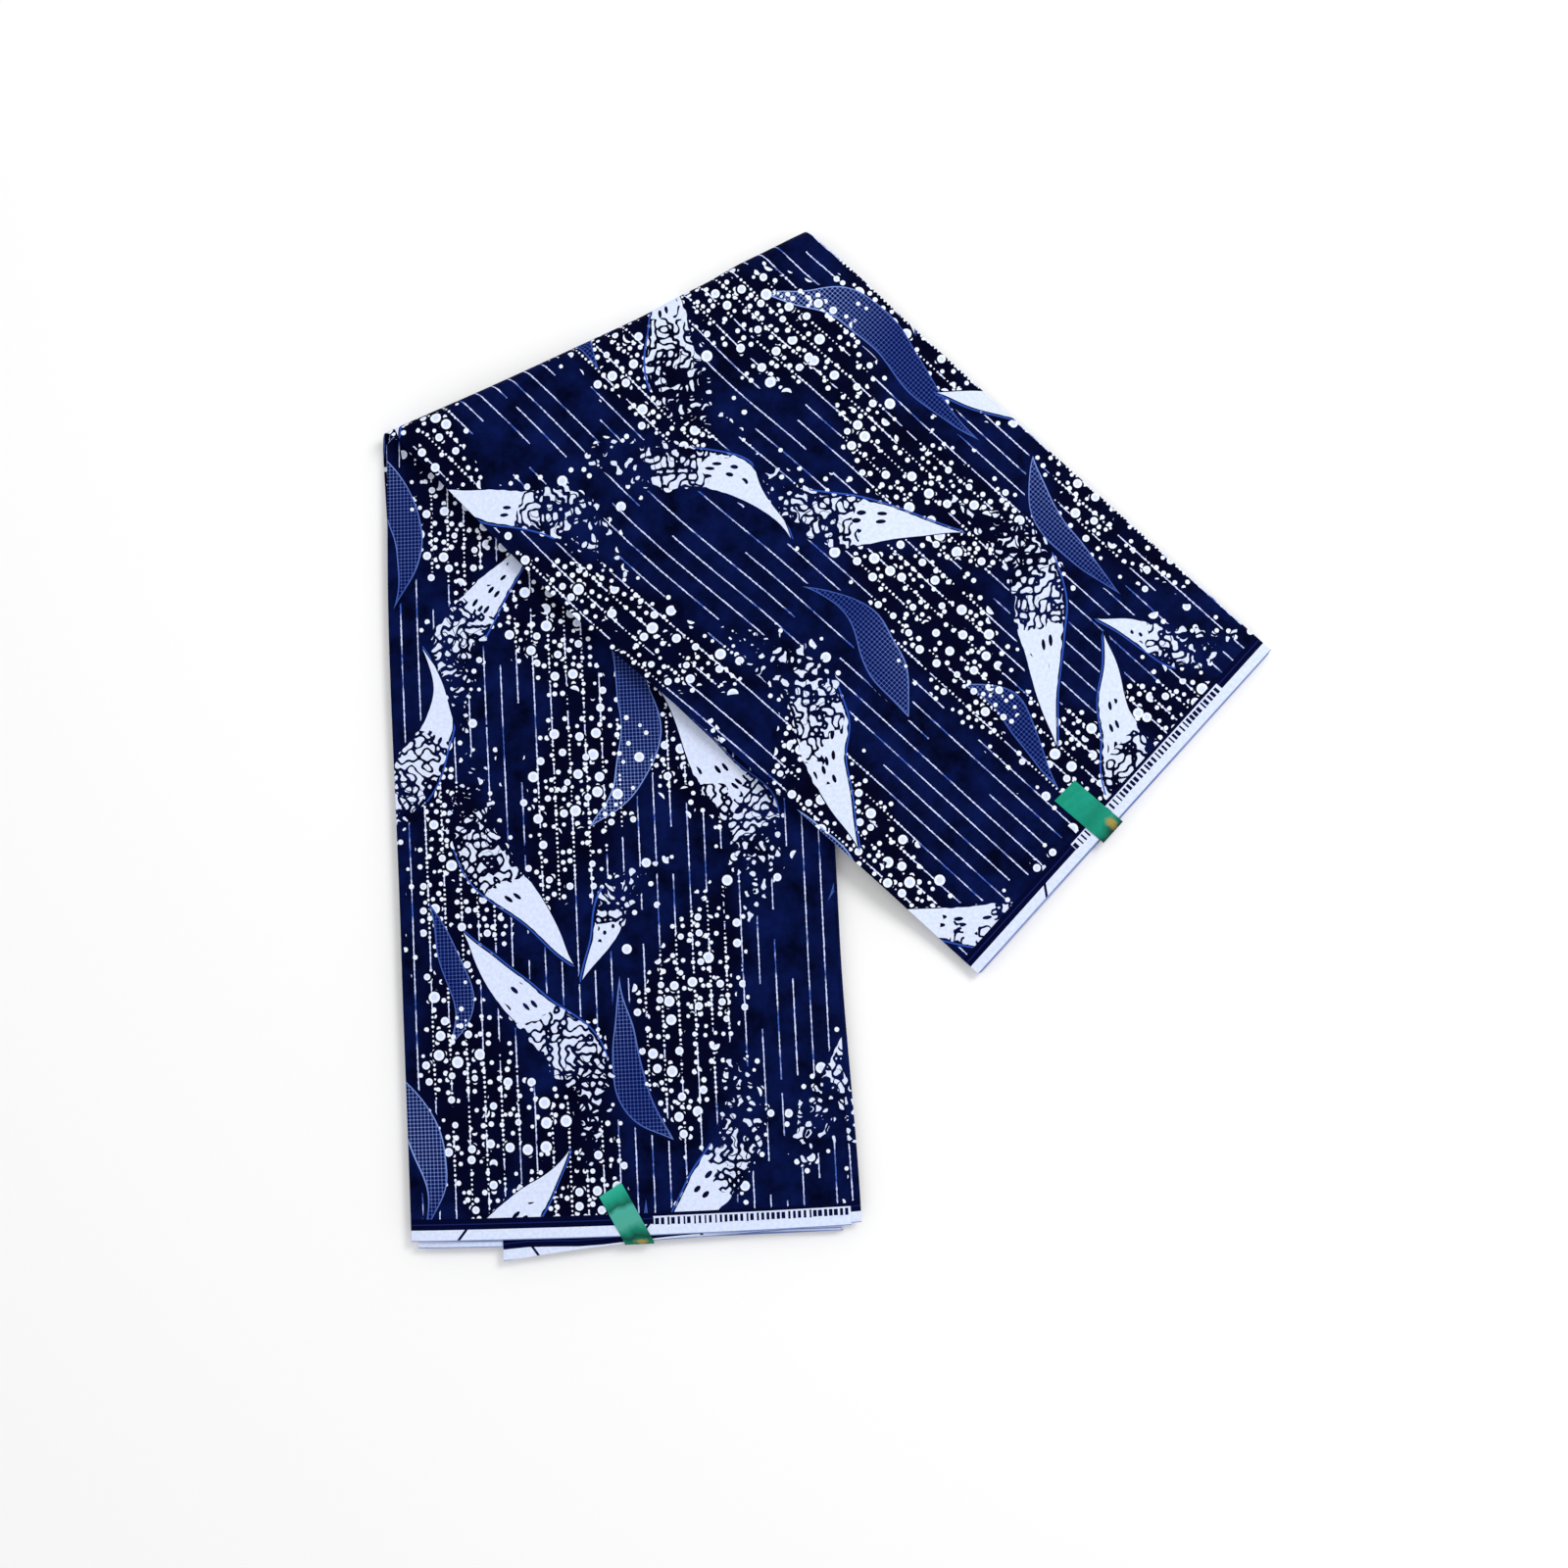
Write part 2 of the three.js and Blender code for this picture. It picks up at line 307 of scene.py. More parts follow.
def sink_row(beyond):
    left = FOLD_ALONG + (STRIP_WIDTH + beyond) / math.sin(2 * FOLD_ANGLE)
    return left, left - STRIP_WIDTH / math.tan(2 * FOLD_ANGLE)


ROWS_HEM, ROWS_LEFT, ROWS_ROLL, ROWS_OVER, ROWS_SINKING, ROWS_RIGHT = 5, 42, 18, 12, 14, 31

hem_shares = np.concatenate([
    np.linspace(0, 0.05, ROWS_HEM + 1)[:-1], np.linspace(0.05, 1, ROWS_LEFT + 1)[:-1],
])
rows = between((0, 0), fold_row(-ROLL_REACH / 2), hem_shares)
rows += between(fold_row(-ROLL_REACH / 2), fold_row(ROLL_REACH / 2), np.arange(ROWS_ROLL) / ROWS_ROLL)
rows += between(fold_row(ROLL_REACH / 2), sink_row(SINK_FROM), np.arange(ROWS_OVER) / ROWS_OVER)
rows += between(sink_row(SINK_FROM), sink_row(SINK_TO), np.arange(ROWS_SINKING) / ROWS_SINKING)
far_shares = np.concatenate([
    np.linspace(0, 0.9, ROWS_RIGHT + 1)[:-1], np.linspace(0.9, 1, ROWS_HEM + 1),
])
rows += between(sink_row(SINK_TO), (STRIP_LENGTH, STRIP_LENGTH), far_shares)
row_left, row_right = np.array(rows).T[:, :, None]
print(len(rows), "rows")

# %% Columns
COLUMNS_SEEN, COLUMNS_HIDDEN = 38, 14
CREASE_SEEN, CREASE_HIDDEN = 7, 4


def edge_apex(edge):
    along = row_right if edge["right"] else row_left
    out = from_table(along, STATIONS, edge["out"])
    return STRIP_WIDTH + out if edge["right"] else -out


def crease_between(index):
    if index in (0, PANELS):
        return None
    before, after = levels[index - 1], levels[index]
    radius = abs(after - before) * PITCH / 2
    way = 1 if edges[index]["right"] else -1
    centre = edge_apex(edges[index]) - way * (radius + SHEET / 2)
    middle = (before + after) * PITCH / 2 + SHEET / 2
    return {"radius": radius, "way": way, "climb": np.sign(after - before),
            "middle": middle, "centre": centre}


def hem_curve(start, middle, end, share):
    bow = middle - (start + end) / 2
    return start + (end - start) * share + 4 * bow * share * (1 - share)


across, height, past_left, past_right, panel_of = [], [], [], [], []
for index in range(PANELS):
    start, end = edges[index], edges[index + 1]
    came, goes = crease_between(index), crease_between(index + 1)
    first = edge_apex(start) if came is None else came["centre"]
    last = edge_apex(end) if goes is None else goes["centre"]
    seen = index in (1, PANELS - 1)
    share = np.linspace(0, 1, (COLUMNS_SEEN if seen else COLUMNS_HIDDEN) + 1)[None, :]
    across.append(first + (last - first) * share)
    height.append(np.full_like(across[-1], levels[index] * PITCH + SHEET / 2))
    hems = [hem_curve(start["past"][leg], hem_middles[index][leg], end["past"][leg], share[0])
            for leg in (0, 1)]
    past_left.append(hems[0])
    past_right.append(hems[1])
    panel_of += [index] * share.size
    if goes is None:
        continue
    steps = CREASE_SEEN if index + 1 in (1, 2, PANELS - 1) else CREASE_HIDDEN
    turn = (np.pi * np.arange(1, steps) / steps)[None, :]
    across.append(goes["centre"] + goes["way"] * goes["radius"] * np.sin(turn))
    drop = goes["middle"] - goes["climb"] * goes["radius"] * np.cos(turn)
    height.append(np.broadcast_to(drop, across[-1].shape))
    past_left.append(np.full(steps - 1, end["past"][0]))
    past_right.append(np.full(steps - 1, end["past"][1]))
    panel_of += [index if step < steps / 2 else index + 1 for step in range(1, steps)]

across, height = np.concatenate(across, axis=1), np.concatenate(height, axis=1)
past_left, past_right = np.concatenate(past_left), np.concatenate(past_right)
panel_of = np.array(panel_of)
along = row_left + (row_right - row_left) * across / STRIP_WIDTH
tucked = np.where(panel_of == 0, np.clip(1 - across / STRIP_WIDTH, 0, 1), 0)
reach = HEM_REACH + (TUCK_REACH - HEM_REACH) * tucked
near_left = np.maximum(0, 1 - along / reach)
near_right = np.maximum(0, 1 - (STRIP_LENGTH - along) / reach)
pulled = along - past_left * near_left + past_right * near_right
points = settle(across, pulled, height)

print(len(panel_of), "columns")

# %% [markdown]
# ### Loose faces and curled hems
#
# The two faces that show are a little loose: they lift off the next layer in soft wrinkles, and
# their hems curl up a little. Both fade out at the creases, which hold the sheet down.

# %% Loose faces
# wave length in mm, and its heading and start in radians
WRINKLES = ((46, 0.35, 0), (71, 1.25, 1), (58, 2.1, 2), (93, 2.75, 3))
LEAST_LIFT, WRINKLE_LIFT, HEM_CURL = 0.12, 0.5, 1.0
CREASE_HOLDS, FOLD_HOLDS, CURL_REACH, CURL_WAVE = 14, 25, 16, 19


def looseness(across, along, leg):
    way = sum(
        np.sin((across * math.cos(turn) + along * math.sin(turn)) * 2 * math.pi / length + start)
        for length, turn, start in WRINKLES
    ) / len(WRINKLES)
    inner = smooth(across / CREASE_HOLDS) * smooth((STRIP_WIDTH - across) / CREASE_HOLDS)
    rise = (along - FOLD_ALONG) * math.cos(FOLD_ANGLE) - across * math.sin(FOLD_ANGLE)
    off_fold = smooth((leg * rise - ROLL_REACH / 2) / FOLD_HOLDS)
    from_hem = np.where(leg < 0, along, STRIP_LENGTH - along)
    curl = HEM_CURL * smooth((CURL_REACH - from_hem) / CURL_REACH)
    curl = curl * (0.7 + 0.3 * np.sin(across / CURL_WAVE))
    return (LEAST_LIFT + WRINKLE_LIFT * smooth(0.5 + 0.9 * way)) * inner * off_fold + curl * inner


for panel, leg in ((1, -1), (PANELS - 1, 1)):
    lifted = np.where(panel_of == panel, looseness(across, along, leg), 0)
    points[:, :, 2] += lifted
    print("panel", panel, "lifts by up to", round(float(lifted.max()), 2), "mm")

# %% Length of the sheet
middle_row = len(rows) // 4
steps = np.hypot(np.diff(across[middle_row]), np.diff(height[middle_row]))
unrolled = np.concatenate([[0], np.cumsum(steps)])
print("cloth unrolled", round(unrolled[-1]), "mm, cut", CLOTH_LENGTH, "mm")
unrolled *= CLOTH_LENGTH / unrolled[-1]

# %% [markdown]
# ## The cloth's mesh
#
# Blender's grid primitive is the flat cut. Each of its vertices knows its row and column from its
# place, and is moved to where the fold puts it. A Solidify modifier then gives the sheet its real
# thickness and closes it, so that the hems and the free ends show as thin edges. The films of the
# labels are made in the same two steps, so each step is a function.

# %% Flat cut and thickness
SMOOTH_BELOW = math.radians(50)


def flat_cut(name, columns, rows, calc_uvs):
    bpy.ops.object.select_all(action="DESELECT")
    bpy.ops.mesh.primitive_grid_add(
        x_subdivisions=columns - 1, y_subdivisions=rows - 1, size=1, calc_uvs=calc_uvs
    )
    piece = bpy.context.object
    piece.name = piece.data.name = name
    places = np.empty(len(piece.data.vertices) * 3)
    piece.data.vertices.foreach_get("co", places)
    return piece, *(places.reshape(-1, 3)[:, :2] + 0.5).T


def thicken(piece, thickness):
    bpy.ops.object.modifier_add(type="SOLIDIFY")
    piece.modifiers[-1].thickness = thickness * MM
    piece.modifiers[-1].offset = 0
    bpy.ops.object.modifier_apply(modifier=piece.modifiers[-1].name)
    bpy.ops.object.shade_smooth_by_angle(angle=SMOOTH_BELOW)
    print(piece.name, len(piece.data.vertices), "vertices,", len(piece.data.polygons), "faces")


# %% Fold the grid
ROWS, COLUMNS = across.shape
cloth, cut_across, cut_along = flat_cut("folded_cloth", COLUMNS, ROWS, calc_uvs=False)
mesh = cloth.data
column_of = np.rint(cut_across * (COLUMNS - 1)).astype(int)
row_of = np.rint(cut_along * (ROWS - 1)).astype(int)

centre = np.array([(low + high) / 2 for low, high in zip(cloth_low, cloth_high)])
flat_points = points.reshape(-1, 3) * MM
shift = centre - (flat_points.min(axis=0) + flat_points.max(axis=0)) / 2
shift[2] = 0
placed = points[row_of, column_of] * MM + shift
mesh.vertices.foreach_set("co", placed.ravel())
mesh.update()
print("cloth moved by", shift.round(4), "and now spans", np.ptp(placed, axis=0).round(4))

# %% [markdown]
# ## The print's map
#
# The pattern was printed on the flat cloth before it was folded, so it must follow the sheet
# through every crease. A UV map that holds the flat cloth's own coordinates, in metres, does that.
# The hem of the tucked piece is turned under by a few millimetres, so its print starts that much in.

# %% Flat-cloth map
TURNED_UNDER, TURN_REACH = 6.6, 90
TURN_FULL_FROM, TURN_GONE_AT, TURN_FADE = 75, 240, 60

loops = np.empty(len(mesh.loops), dtype=int)
mesh.loops.foreach_get("vertex_index", loops)
flat_map = mesh.uv_layers.new(name="flat_cloth")
turned_under = np.where(panel_of == 0, TURNED_UNDER, 0) * smooth(unrolled / TURN_FULL_FROM)
turned_under = turned_under * smooth((TURN_GONE_AT - unrolled) / TURN_FADE)
printed = along + turned_under * np.maximum(0, 1 - along / TURN_REACH)
flat_places = np.stack([unrolled[column_of], printed[row_of, column_of]], axis=1) * MM
flat_map.uv.foreach_set("vector", flat_places[loops].ravel())
thicken(cloth, SHEET)
mesh = cloth.data

# %% [markdown]
# ## The baking map
#
# For baking, the colours go into an image, and for that every face needs a place of its own on a
# second map. The two faces that show, the left leg's top and the right leg's, get two large
# rectangles. The hidden layers share a narrow band beside them, and the thin edges a thin band.

# %% Sides of the sheet
first_faces = (ROWS - 1) * (COLUMNS - 1)
sheet_points = ROWS * COLUMNS
polygon_count = len(mesh.polygons)
loops = np.empty(len(mesh.loops), dtype=int)
mesh.loops.foreach_get("vertex_index", loops)
quads = loops.reshape(polygon_count, 4)
grid_column, grid_row = column_of[quads % sheet_points], row_of[quads % sheet_points]
face_column, face_row = grid_column.min(axis=1), grid_row.min(axis=1)

centres = np.empty(polygon_count * 3)
mesh.polygons.foreach_get("center", centres)
centres = centres.reshape(-1, 3)

# one face in the left leg's top tells which side of the sheet looks up there
PROBE_COLUMN, PROBE_ROW = 20, 10
in_column = face_column[:first_faces] == np.flatnonzero(panel_of == 1)[PROBE_COLUMN]
probe = np.flatnonzero(in_column & (face_row[:first_faces] == PROBE_ROW))[0]
first_is_up = centres[probe, 2] > centres[probe + first_faces, 2]
gap = np.linalg.norm(centres[probe] - centres[probe + first_faces]) / MM
print("the two sides are", round(float(gap), 3), "mm apart; the first one looks up:", first_is_up)

side = np.full(polygon_count, 2)
side[:first_faces] = 0
side[first_faces : 2 * first_faces] = 1
up_side = 0 if first_is_up else 1

# %% Baking map
BIG_STEP, BIG_WIDE = 0.45, 0.44
BAND_FROM, BAND_WIDE, BAND_STEP = 0.90, 0.045, 0.047
GRID_TALL, HEM_WIDE = 0.97, 0.99

# where the band of the near edge starts, the step to the far edge's, and how wide each is
HEM_BANDS = (0.976, 0.010, 0.006)
END_BANDS = (0.9935, 0.0032, 0.002)

share_across = unrolled / unrolled[-1]
share_along = np.cumsum(np.concatenate([[0], np.diff(np.array(rows)[:, 0])]))
share_along = GRID_TALL * share_along / share_along[-1]

map_u = BAND_FROM + BAND_WIDE * share_across[grid_column]
map_u[side == 1] += BAND_STEP
map_v = share_along[grid_row]
big = {1: (up_side, 0.0), PANELS - 1: (1 - up_side, BIG_STEP)}
for panel, (facing, start) in big.items():
    low, high = np.flatnonzero(panel_of == panel)[[0, -1]]
    inside = (side == facing) & (face_column >= low) & (face_column < high)
    wide = (unrolled[grid_column] - unrolled[low]) / (unrolled[high] - unrolled[low])
    map_u[inside] = (start + BIG_WIDE * wide)[inside]

second = (quads >= sheet_points).astype(float)
for name, line, at in (("row", grid_row, 0), ("row", grid_row, ROWS - 1),
                       ("column", grid_column, 0), ("column", grid_column, COLUMNS - 1)):
    on_edge = (side == 2) & (line == at).all(axis=1)
    if name == "row":
        map_u[on_edge] = (HEM_WIDE * share_across[grid_column])[on_edge]
    start, step, wide = HEM_BANDS if name == "row" else END_BANDS
    target = map_v if name == "row" else map_u
    target[on_edge] = (start + step * (at > 0) + wide * second)[on_edge]

bake_map = mesh.uv_layers.new(name="OFBake")
bake_map.uv.foreach_set("vector", np.stack([map_u, map_v], axis=-1).ravel())
mesh.uv_layers["flat_cloth"].active_render = True
print("edge faces", int((side == 2).sum()))

# %% [markdown]
# ## The wax print: cloth coordinates
#
# The design is a common kind of indigo wax print: fine stripes, drifting dots, and ordinary curved
# leaves, on a half-drop repeat. In a wax print resin keeps the dye out, so the white parts are bare
# cotton and the ground is dyed several times over. The cotton is plain woven and calendered, which
# gives a low, broad sheen. The pattern is made from shader nodes in millimetres on the flat cloth,
# and a small noise shifts it, as the resin print is never quite even. The other noises, each at a
# scale of its own, mottle the dye, crack the resin and draw the fibres further on.

# %% Print material and its coordinates
wax_cotton, tree, cotton = new_material("indigo_wax_printed_plain_weave_cotton")
cloth.data.materials.append(wax_cotton)

flat_uv = add_node(tree, "ShaderNodeUVMap", uv_map="flat_cloth")
exact = add_node(tree, VECTOR, {0: flat_uv, "Scale": 1000}, operation="SCALE")
at_length, at_width = add_node(tree, SPLIT, {0: exact}).outputs[:2]
print(wax_cotton.name, "on", cloth.name)

# %% Noises of the print
HAND_SHIFT = 9

# scale per mm, detail and roughness
NOISES = {
    "hand": (0.022, 0, 0.5),
    "mottle": (0.04, 5, 0.65),
    "grain": (0.5, 0, 0.5),
    "tones": (0.009, 0, 0.5),
    "patches": (0.028, 2, 0.5),
    "cracks": (0.17, 0, 0.5),
    "fibres": (0.4, 3, 0.5),
    "slubs": (0.35, 3, 0.5),
}
noise = {
    name: add_node(tree, NOISE, {"Vector": exact, "Scale": scale, "Detail": detail,
                                 "Roughness": roughness}, noise_dimensions="2D")
    for name, (scale, detail, roughness) in NOISES.items()
}
hand = add_node(tree, VECTOR, {0: noise["hand"].outputs["Color"], 1: (0.5, 0.5, 0.5)},
                operation="SUBTRACT")
place = add_node(tree, VECTOR, {0: hand, 1: (HAND_SHIFT, HAND_SHIFT, 0), 2: exact},
                 operation="MULTIPLY_ADD")
print(len(noise), "noises, from", min(NOISES.values())[0], "to", max(NOISES.values())[0], "per mm")

# %% [markdown]
# ### One leaf of the repeat
#
# A leaf is a node group that is used again for each row of a table. It wraps the cloth into the
# repeat, moves to the leaf's middle, turns to its heading and bows it. It gives how deep a point
# lies inside the leaf, how far along the leaf it is, and how far from the midrib.

# %% Leaf group
REPEAT_WIDE, REPEAT_LONG = 300, 440
LEAF_SIZES = ("Turn", "Length", "Width", "Bow", "Sway")

leaf = bpy.data.node_groups.new("leaf_of_the_repeat", "ShaderNodeTree")
for name in ("Place", "Centre"):
    leaf.interface.new_socket(name, in_out="INPUT", socket_type="NodeSocketVector")
for name in LEAF_SIZES:
    leaf.interface.new_socket(name, in_out="INPUT", socket_type="NodeSocketFloat")
leaf.interface.new_socket("Depth", in_out="OUTPUT", socket_type="NodeSocketFloat")
leaf.interface.new_socket("Reading", in_out="OUTPUT", socket_type="NodeSocketVector")

asked = add_node(leaf, "NodeGroupInput").outputs
offset = add_node(leaf, VECTOR, {0: asked["Place"], 1: asked["Centre"]}, operation="SUBTRACT")
part = add_node(leaf, SPLIT, {0: offset})
x = add_node(leaf, MATH, {0: part.outputs[0], 1: REPEAT_WIDE / 2, 2: -REPEAT_WIDE / 2},
             operation="WRAP")
whole = add_node(leaf, MATH, {0: part.outputs[0], 1: x}, operation="SUBTRACT")
drop = add_node(leaf, MATH, {0: whole, 1: REPEAT_LONG / REPEAT_WIDE / 2, 2: part.outputs[1]},
                operation="MULTIPLY_ADD")
y = add_node(leaf, MATH, {0: drop, 1: REPEAT_LONG / 2, 2: -REPEAT_LONG / 2}, operation="WRAP")
local = add_node(leaf, JOIN, {0: x, 1: y})
turned = add_node(leaf, "ShaderNodeVectorRotate", {"Vector": local, "Angle": asked["Turn"]},
                  rotation_type="Z_AXIS")
down_leaf, from_midrib = add_node(leaf, SPLIT, {0: turned}).outputs[:2]
ratio = add_node(leaf, MATH, {0: down_leaf, 1: asked["Length"]}, operation="DIVIDE")
along_leaf = add_node(leaf, MATH, {0: ratio, 1: 0.5}, operation="ADD", use_clamp=True)
print("repeat", REPEAT_WIDE, "by", REPEAT_LONG, "mm, each column half a repeat further down")

# %% Bow, sway and outline of the leaf
rest = add_node(leaf, MATH, {0: 1.0, 1: along_leaf}, operation="SUBTRACT")
arch = add_node(leaf, MATH, {0: along_leaf, 1: rest}, operation="MULTIPLY")
arch = add_node(leaf, MATH, {0: arch, 1: 4, 2: -0.6}, operation="MULTIPLY_ADD")
wave = add_node(leaf, MATH, {0: along_leaf, 1: 2 * math.pi}, operation="MULTIPLY")
wave = add_node(leaf, MATH, {0: wave}, operation="SINE")
for curve, size in ((arch, "Bow"), (wave, "Sway")):
    aside = add_node(leaf, MATH, {0: curve, 1: asked[size]}, operation="MULTIPLY")
    from_midrib = add_node(leaf, MATH, {0: from_midrib, 1: aside}, operation="SUBTRACT")

profile = along_leaf
for operation, number in (("POWER", 0.8), ("MULTIPLY", math.pi), ("SINE", 0), ("MAXIMUM", 0),
                          ("POWER", 1.15)):
    profile = add_node(leaf, MATH, {0: profile, 1: number}, operation=operation)
half_width = add_node(leaf, MATH, {0: asked["Width"], 1: 0.5}, operation="MULTIPLY")
off_midrib = add_node(leaf, MATH, {0: from_midrib}, operation="ABSOLUTE")
depth = add_node(leaf, MATH, {0: profile, 1: half_width}, operation="MULTIPLY")
end = ratio
for operation, number in (("ABSOLUTE", 0), ("SUBTRACT", 0.5), ("MAXIMUM", 0),
                          ("MULTIPLY", asked["Length"])):
    end = add_node(leaf, MATH, {0: end, 1: number}, operation=operation)
for less in (off_midrib, end):
    depth = add_node(leaf, MATH, {0: depth, 1: less}, operation="SUBTRACT")
reading = add_node(leaf, JOIN, {0: depth, 1: along_leaf, 2: from_midrib})
add_node(leaf, "NodeGroupOutput", {"Depth": depth, "Reading": reading})
print("leaf group", len(leaf.nodes), "nodes")

# %% Leaves of the repeat
# middle across, middle along, heading in degrees, length, width, bow and sway (lengths in mm)
PALE_LEAVES = (
    (40, 78, 72, 176, 37, 24, 8),
    (60, 268, 292, 160, 32, -22, -7),
    (196, 36, 248, 166, 34, 22, 7),
    (206, 214, 114, 160, 32, -22, -6),
    (176, 356, 64, 184, 36, 25, 9),
    (124, 436, 306, 98, 23, 12, 3),
    (262, 116, 108, 160, 32, 22, -7),
)
NET_LEAVES = (
    (108, 152, 98, 184, 29, 22, 9),
    (112, 336, 74, 118, 22, -14, -4),
    (268, 286, 262, 124, 24, -16, 5),
    (240, 404, 84, 100, 19, 12, 4),
)
DRIFTS = (
    (66, 160, 80, 236, 84, -24, 0),
    (150, 100, 100, 226, 84, 22, 0),
    (236, 40, 84, 220, 80, 24, 0),
    (150, 262, 96, 236, 90, -22, 0),
    (236, 330, 78, 220, 82, 24, 0),
    (64, 380, 104, 220, 82, -20, 0),
)


def nearest_leaf(rows):
    depth = reading = None
    for across_at, along_at, heading, *lengths in rows:
        sizes = dict(zip(LEAF_SIZES, (-math.radians(heading), *lengths)))
        middle = (across_at, along_at, 0)
        one = add_node(tree, "ShaderNodeGroup", {"Place": place, "Centre": middle, **sizes},
                       node_tree=leaf).outputs
        if depth is None:
            depth, reading = one["Depth"], one["Reading"]
            continue
        nearer = add_node(tree, MATH, {0: one["Depth"], 1: depth}, operation="GREATER_THAN")
        reading = add_node(tree, MIX, {0: nearer, 4: reading, 5: one["Reading"]},
                           data_type="VECTOR").outputs[1]
        depth = add_node(tree, MATH, {0: one["Depth"], 1: depth},
                         operation="MAXIMUM").outputs[0]
    return add_node(tree, SPLIT, {0: reading}).outputs


pale_depth, pale_along, pale_aside = nearest_leaf(PALE_LEAVES)
net_depth, net_along = nearest_leaf(NET_LEAVES)[:2]
drift_depth = nearest_leaf(DRIFTS)[0]
print(len(PALE_LEAVES) + len(NET_LEAVES) + len(DRIFTS), "shapes in the repeat")

# %% [markdown]
# ### Ground and stripes
#
# The dyed ground is a deep indigo, a little mottled, because the cloth is dyed in rope form, and
# nearly black in the drifts of dots, which were dyed twice. Fine undyed stripes run along the
# strip every 11.65 mm. They are broken and fade to mid blue, as the thin resin lines crack, and
# they stop short of the leaves. Each of these facts is a test that gives 0 or 1, and a stripe shows
# where the product of them all is 1.

# %% Ground
mottle = add_node(tree, RANGE, {"Value": noise["mottle"], 1: 0.3, 2: 0.7})
open_ground = add_node(tree, MIX, {0: mottle, 6: linear("#00031c"), 7: linear("#071448")},
                       data_type="RGBA")
in_drift = add_node(tree, RANGE, {"Value": drift_depth, 1: -4.0, 2: 14.0})
twice_dyed = add_node(tree, MATH, {0: in_drift, 1: 0.8}, operation="MULTIPLY")
ground = add_node(tree, MIX, {0: twice_dyed, 6: open_ground, 7: linear("#010116")},
                  data_type="RGBA")
print("ground mottled over about", round(1 / NOISES["mottle"][0]), "mm")

# %% Stripes
STRIPE_PITCH, STRIPE_WIDE, CLEAR_OF_LEAF = 11.65, 0.85, 3.2
HALF_STRIPE = STRIPE_WIDE / STRIPE_PITCH / 2


def all_of(*tests):
    held, *others = tests
    for test in others:
        held = add_node(tree, MATH, {0: held, 1: test}, operation="MULTIPLY")
    return held


stripe_number = add_node(tree, MATH, {0: at_length, 1: STRIPE_PITCH}, operation="DIVIDE")
stripe_cell = add_node(tree, MATH, {0: stripe_number}, operation="FLOOR")
stripe_away = stripe_number
for operation in ("FRACT", "SUBTRACT", "ABSOLUTE"):
    stripe_away = add_node(tree, MATH, {0: stripe_away, 1: 0.5}, operation=operation)
uneven = add_node(tree, RANGE, {"Value": noise["grain"], 1: 0.3, 2: 0.7,
                                3: 0.6 * HALF_STRIPE, 4: 1.3 * HALF_STRIPE})
on_stripe = add_node(tree, MATH, {0: stripe_away, 1: uneven}, operation="LESS_THAN")

break_place = add_node(tree, JOIN, {0: stripe_cell, 1: at_width})
break_place = add_node(tree, VECTOR, {0: break_place, 1: (7.3, 0.016, 0)}, operation="MULTIPLY")
breaks = add_node(tree, NOISE, {"Vector": break_place, "Scale": 1, "Detail": 0},
                  noise_dimensions="2D")
unbroken = add_node(tree, MATH, {0: breaks, 1: 0.36}, operation="GREATER_THAN")
fade_place = add_node(tree, VECTOR, {0: break_place, 1: (3.1, 3.4, 0)}, operation="MULTIPLY")
fades = add_node(tree, NOISE, {"Vector": fade_place, "Scale": 1, "Detail": 2},
                 noise_dimensions="2D")
faded = add_node(tree, RANGE, {"Value": fades, 1: 0.34, 2: 0.5})
stripe_colour = add_node(tree, MIX, {0: faded, 6: linear("#3c5cb4"), 7: linear("#ccd7ff")},
                         data_type="RGBA")
off_leaf = add_node(tree, MATH, {0: pale_depth, 1: net_depth}, operation="MAXIMUM")
off_leaf = add_node(tree, MATH, {0: off_leaf, 1: -CLEAR_OF_LEAF}, operation="LESS_THAN")
thinned = add_node(tree, MATH, {0: in_drift, 1: 0.55}, operation="MULTIPLY")
thinned = add_node(tree, MATH, {0: fades, 1: thinned}, operation="GREATER_THAN")
striped = all_of(on_stripe, unbroken, off_leaf, thinned)
colour = add_node(tree, MIX, {0: striped, 6: ground, 7: stripe_colour}, data_type="RGBA")
print("stripes", STRIPE_WIDE, "mm wide, one every", STRIPE_PITCH, "mm")

# %% [markdown]
# ### Net-filled leaves
#
# Some leaves are filled with a fine net in two blues, about 2.6 mm from line to line, with a light
# outline. The net is a grid on the cloth's own axes, palest where its lines cross, because more
# resin sat there, and white dots break into it at one end.

# %% Net leaves
NET_PITCH, NET_RIM = 2.6, 0.9
HALF_MESH = 0.37

net_cell = add_node(tree, VECTOR, {0: exact, "Scale": 1 / NET_PITCH}, operation="SCALE")
net_cell = add_node(tree, VECTOR, {0: net_cell}, operation="FRACTION")
net_cell = add_node(tree, VECTOR, {0: net_cell, 1: (0.5, 0.5, 0)}, operation="SUBTRACT")
net_cell = add_node(tree, VECTOR, {0: net_cell}, operation="ABSOLUTE")
net_parts = add_node(tree, SPLIT, {0: net_cell})
net_lines = [add_node(tree, MATH, {0: part, 1: HALF_MESH}, operation="GREATER_THAN")
             for part in net_parts.outputs[:2]]
net_line = add_node(tree, MATH, {0: net_lines[0], 1: net_lines[1]}, operation="ADD")
net_line = add_node(tree, MATH, {0: net_line, 1: 0.5}, operation="MULTIPLY")
net_line = add_node(tree, MATH, {0: net_line, 1: 1.5}, operation="POWER")

